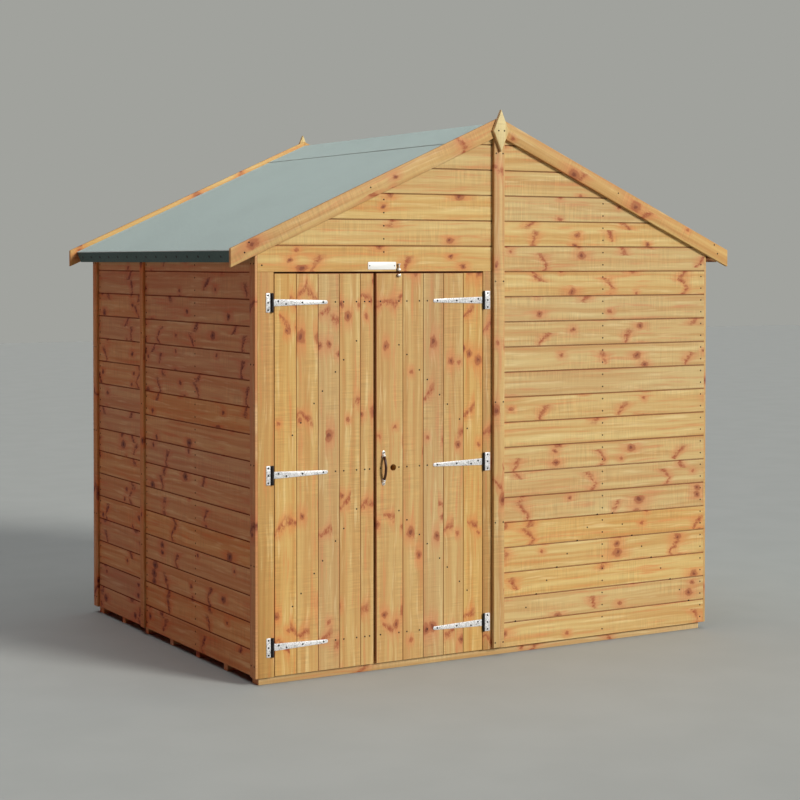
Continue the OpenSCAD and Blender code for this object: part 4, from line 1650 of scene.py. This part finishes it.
@dataclass
class Nails:
    """Rows of small nail heads on boards and trims."""

    finishes: Finishes
    layout: Layout
    edges: Sequence[Sequence[float]]
    radius: float = 0.0037
    proud: float = 0.0006
    from_joint: float = 0.020

    def row(self, start: Sequence[float], out: Sequence[float], count: int,
            step: Sequence[float]) -> bpy.types.Object:
        """Builds one row of heads.

        Args:
            start: The first head's place on the surface.
            out: The surface's outward direction.
            count: How many heads there are.
            step: The way from one to the next.

        Returns:
            The row.
        """
        head = add_rod("nail", Vector(start) - Vector(out) * 0.002, out, self.radius,
                       0.002 + self.proud, 8)
        repeat(head, count, step)
        return head

    def gable(self, end: int) -> list[bpy.types.Object]:
        """Builds the nails of one gable: two to a board on each stud.

        Args:
            end: -1 for the front, 1 for the rear.

        Returns:
            The rows.
        """
        half = self.layout.course / 2
        y = self.layout.gable_y * end
        rows = []
        for side in (-1, 1):
            for x in (0.585, 1.168):
                over_door = end < 0 and side < 0
                z0 = (self.layout.head_z if over_door else self.layout.clad_z) + half / 2
                top = self.layout.roof_z(x, 0.090)
                count = max(1, int((top - z0) / half) + 1)
                rows.append(self.row((side * x, y, z0), (0, end, 0), count, (0, 0, half)))
            if not (end < 0 and side < 0):
                rows.append(self.row((side * 0.10, y, 0.145), (0, end, 0), 9,
                                     (side * 0.057, 0, half)))
                rows.append(self.row((side * 1.10, y, 0.145), (0, end, 0), 9,
                                     (-side * 0.057, 0, half)))
        return rows

    def side(self, side: int) -> list[bpy.types.Object]:
        """Builds the nails of one side wall.

        Args:
            side: 1 for the right wall, -1 for the left.

        Returns:
            The rows.
        """
        half = self.layout.course / 2
        x = self.layout.side_x * side
        top = self.layout.roof_z(self.layout.side_x, self.layout.roof_t + 0.03)
        count = int((top - self.layout.clad_z - half / 2) / half) + 1
        return [self.row((x, y, self.layout.clad_z + half / 2), (side, 0, 0), count, (0, 0, half))
                for y in (-0.872, -0.30, 0.265, 0.335, 0.872)]

    def trims(self) -> list[bpy.types.Object]:
        """Builds the nails of strips, corner trims, bargeboards and finials.

        Returns:
            The rows.
        """
        lay = self.layout
        rows = []
        _, strip_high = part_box("gable_cover_strips")
        _, barge_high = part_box("bargeboard_rear_right")
        _, trim_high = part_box("corner_trims")
        _, finial_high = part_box("finials")
        for end in (-1, 1):
            for x in (-0.021, 0.021):
                rows.append(self.row((x, strip_high.y * end, lay.clad_z + 0.03), (0, end, 0), 4,
                                     (0, 0, 0.54)))
            for side in (-1, 1):
                for x, drop in ((0.66, 0.03), (1.235, 0.012), (1.255, 0.045)):
                    z = lay.roof_z(x, -0.022 + drop)
                    rows.append(self.row((side * x, barge_high.y * end, z), (0, end, 0), 1,
                                         (0, 0, 0.1)))
                for y in (lay.gable_y - 0.012, lay.gable_y - 0.041):
                    rows.append(self.row((side * trim_high.x, y * end, lay.clad_z + 0.05),
                                         (side, 0, 0), 5, (0, 0, 0.42)))
            middle = (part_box("finials")[0].z + finial_high.z) / 2
            for x in (-0.015, 0.015):
                rows.append(self.row((x, finial_high.y * end, middle), (0, end, 0), 1, (0, 0, 0.1)))
                rows.append(self.row((x * 1.2, strip_high.y * end, middle - 0.10), (0, end, 0), 1,
                                     (0, 0, 0.1)))
        strip_low, strip_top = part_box("side_cover_strips")
        y = (strip_low.y + strip_top.y) / 2
        for side in (-1, 1):
            rows.append(self.row((side * trim_high.x, y, lay.clad_z + 0.06), (side, 0, 0), 6,
                                 (0, 0, 0.335)))
        return rows

    def doors(self, name: str, edges: Sequence[float]) -> list[bpy.types.Object]:
        """Builds the nails of one door: two to a board on each ledge and on each brace.

        Args:
            name: The door's name.
            edges: The places of the boards' joints.

        Returns:
            The rows.
        """
        low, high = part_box(name + "_boards")
        ledge_low, ledge_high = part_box(name + "_ledges")
        heights = (ledge_low.z + 0.045, (ledge_low.z + ledge_high.z) / 2, ledge_high.z - 0.045)
        columns = [x + side * self.from_joint for x in edges for side in (-1, 1)]
        columns += [low.x + self.from_joint, high.x - self.from_joint]
        hinged_right = name.startswith("right")
        free, fixed = (ledge_low.x, ledge_high.x) if hinged_right else (ledge_high.x, ledge_low.x)
        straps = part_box(name + "_straps")
        rows = []
        for x in columns:
            covered = straps[0].x - 0.01 < x < straps[1].x + 0.01
            share = (x - fixed) / (free - fixed)
            rows += [self.row((x, low.y, z), (0, -1, 0), 1, (0, 0, 0.1))
                     for z in heights if not covered]
            rows += [self.row((x, low.y, z + 0.10 + share * (step - 0.20)), (0, -1, 0), 1,
                              (0, 0, 0.1))
                     for z, step in zip(heights, (heights[1] - heights[0],) * 2)
                     if 0.06 < share < 0.94]
        return rows

    def build(self) -> None:
        """Builds every nail row."""
        groups = [
            ("nails_front", Body.SHED, self.gable(-1)), ("nails_rear", Body.SHED, self.gable(1)),
            ("nails_left", Body.SHED, self.side(-1)), ("nails_right", Body.SHED, self.side(1)),
            ("nails_trims", Body.SHED, self.trims()),
            ("nails_left_door", Body.LEFT_DOOR, self.doors("left_door", self.edges[0])),
            ("nails_right_door", Body.RIGHT_DOOR, self.doors("right_door", self.edges[1])),
        ]
        for name, body, rows in groups:
            settle(join(name, rows), body, (), self.finishes.nail)


# ---------------------------------------------------------------- studio


@dataclass
class Studio:
    """Pale floor, soft light and the camera."""

    key_strength: float = 3.2
    key_toward: tuple[float, float, float] = (-0.45, 0.85, -0.42)
    warm_strength: float = 0.48
    fill: float = 0.0
    top: float = 2.0
    rear: float = 0.25
    floor_size: float = 60.0

    def floor(self) -> None:
        """Lays the plain pale floor."""
        deselect_all()
        bpy.ops.mesh.primitive_plane_add(size=self.floor_size, location=(0, 0, 0))
        plane = bpy.context.active_object
        plane.name = "studio_floor"
        g = Graph("studio_floor")
        grain = g.noise(g.grown(g.object_place(), 3.0), 5.0)
        g.put(g.shader.inputs["Base Color"],
              g.mix(g.smooth(grain, 0.3, 0.7), colour(162, 166, 163), colour(165, 169, 166)))
        g.shader.inputs["Roughness"].default_value = 0.85
        dress(plane, g.material)

    @staticmethod
    def sun(name: str, toward: Sequence[float], strength: float, angle: float,
            tint: tuple[float, float, float]) -> None:
        """Adds one sun lamp.

        Args:
            name: The lamp's name.
            toward: The way that its light goes.
            strength: Its strength.
            angle: Its width in degrees, for soft shadows.
            tint: Its colour.
        """
        deselect_all()
        bpy.ops.object.light_add(type="SUN", location=(0, 0, 6))
        lamp = bpy.context.active_object
        lamp.name = name
        lamp.data.energy = strength
        lamp.data.angle = math.radians(angle)
        lamp.data.color = tint
        lamp.rotation_euler = Vector(toward).to_track_quat("-Z", "Y").to_euler()

    def light(self) -> None:
        """Sets the key light, a dim warm side light, and a fill brighter above and behind."""
        self.sun("key", self.key_toward, self.key_strength, 18.0, (1.0, 0.97, 0.92))
        self.sun("warm_side", (1.0, 0.0, -0.05), self.warm_strength, 40.0, (1.0, 0.10, 0.08))
        world = bpy.context.scene.world or bpy.data.worlds.new("studio")
        bpy.context.scene.world = world
        world.use_nodes = True
        tree = world.node_tree
        tree.nodes.clear()
        split = tree.nodes.new("ShaderNodeSeparateXYZ")
        tree.links.new(tree.nodes.new("ShaderNodeTexCoord").outputs["Generated"], split.inputs[0])
        power: bpy.types.NodeSocket | None = None
        for socket, low, high, share in ((split.outputs["Z"], 0.75, 0.98, self.top),
                                         (split.outputs["Y"], 0.6, 0.95, self.rear)):
            step = tree.nodes.new("ShaderNodeMapRange")
            step.interpolation_type = "SMOOTHSTEP"
            tree.links.new(socket, step.inputs[0])
            for port, number in zip(list(step.inputs)[1:5], (low, high, 0.0, share)):
                port.default_value = number
            total = tree.nodes.new("ShaderNodeMath")
            total.operation = "ADD"
            total.inputs[1].default_value = self.fill
            tree.links.new(step.outputs[0], total.inputs[0])
            if power is not None:
                tree.links.new(power, total.inputs[1])
            power = total.outputs[0]
        output = tree.nodes.new("ShaderNodeOutputWorld")
        seen = tree.nodes.new("ShaderNodeBackground")
        seen.inputs[0].default_value = colour(161, 162, 157)
        lit = tree.nodes.new("ShaderNodeBackground")
        lit.inputs[0].default_value = (0.96, 0.98, 1.0, 1.0)
        tree.links.new(power, lit.inputs[1])
        path = tree.nodes.new("ShaderNodeLightPath")
        either = tree.nodes.new("ShaderNodeMixShader")
        tree.links.new(path.outputs["Is Camera Ray"], either.inputs[0])
        tree.links.new(lit.outputs[0], either.inputs[1])
        tree.links.new(seen.outputs[0], either.inputs[2])
        tree.links.new(either.outputs[0], output.inputs[0])

    def camera(self) -> None:
        """Sets the camera at the front left, a little below eye level."""
        deselect_all()
        bpy.ops.object.camera_add(location=(-4.445, -7.704, 1.774))
        camera = bpy.context.active_object
        camera.name = "view_camera"
        camera.rotation_euler = (math.radians(90 - 1.17), 0, math.radians(-30.23))
        camera.data.lens = 81.24
        camera.data.sensor_width = 36.0
        camera.data.shift_y = -0.128
        bpy.context.scene.camera = camera

    def build(self) -> None:
        """Builds the floor, the light and the camera."""
        self.floor()
        self.light()
        self.camera()
        bpy.context.scene.view_settings.view_transform = "Standard"


def corners(box: tuple[Vector, Vector]) -> list[list[float]]:
    """Turns a box's corners into plain lists of numbers."""
    return [[round(float(part), 5) for part in corner] for corner in box]


def main() -> None:
    """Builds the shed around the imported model, piece by piece."""
    logging.basicConfig(level=logging.INFO, format="%(message)s")
    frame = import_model()
    finishes = Finishes()
    layout = Layout()
    Studio().build()
    Base(finishes).build(frame["nodes"])
    Walls(finishes, layout).build()
    Roof(finishes, layout).build()
    Trims(finishes, layout).build()
    Doors(finishes, layout).build(frame["nodes"])
    Fittings(finishes, layout).build()
    Nails(finishes, layout, Doors.board_edges()).build()


if __name__ == "__main__":
    main()
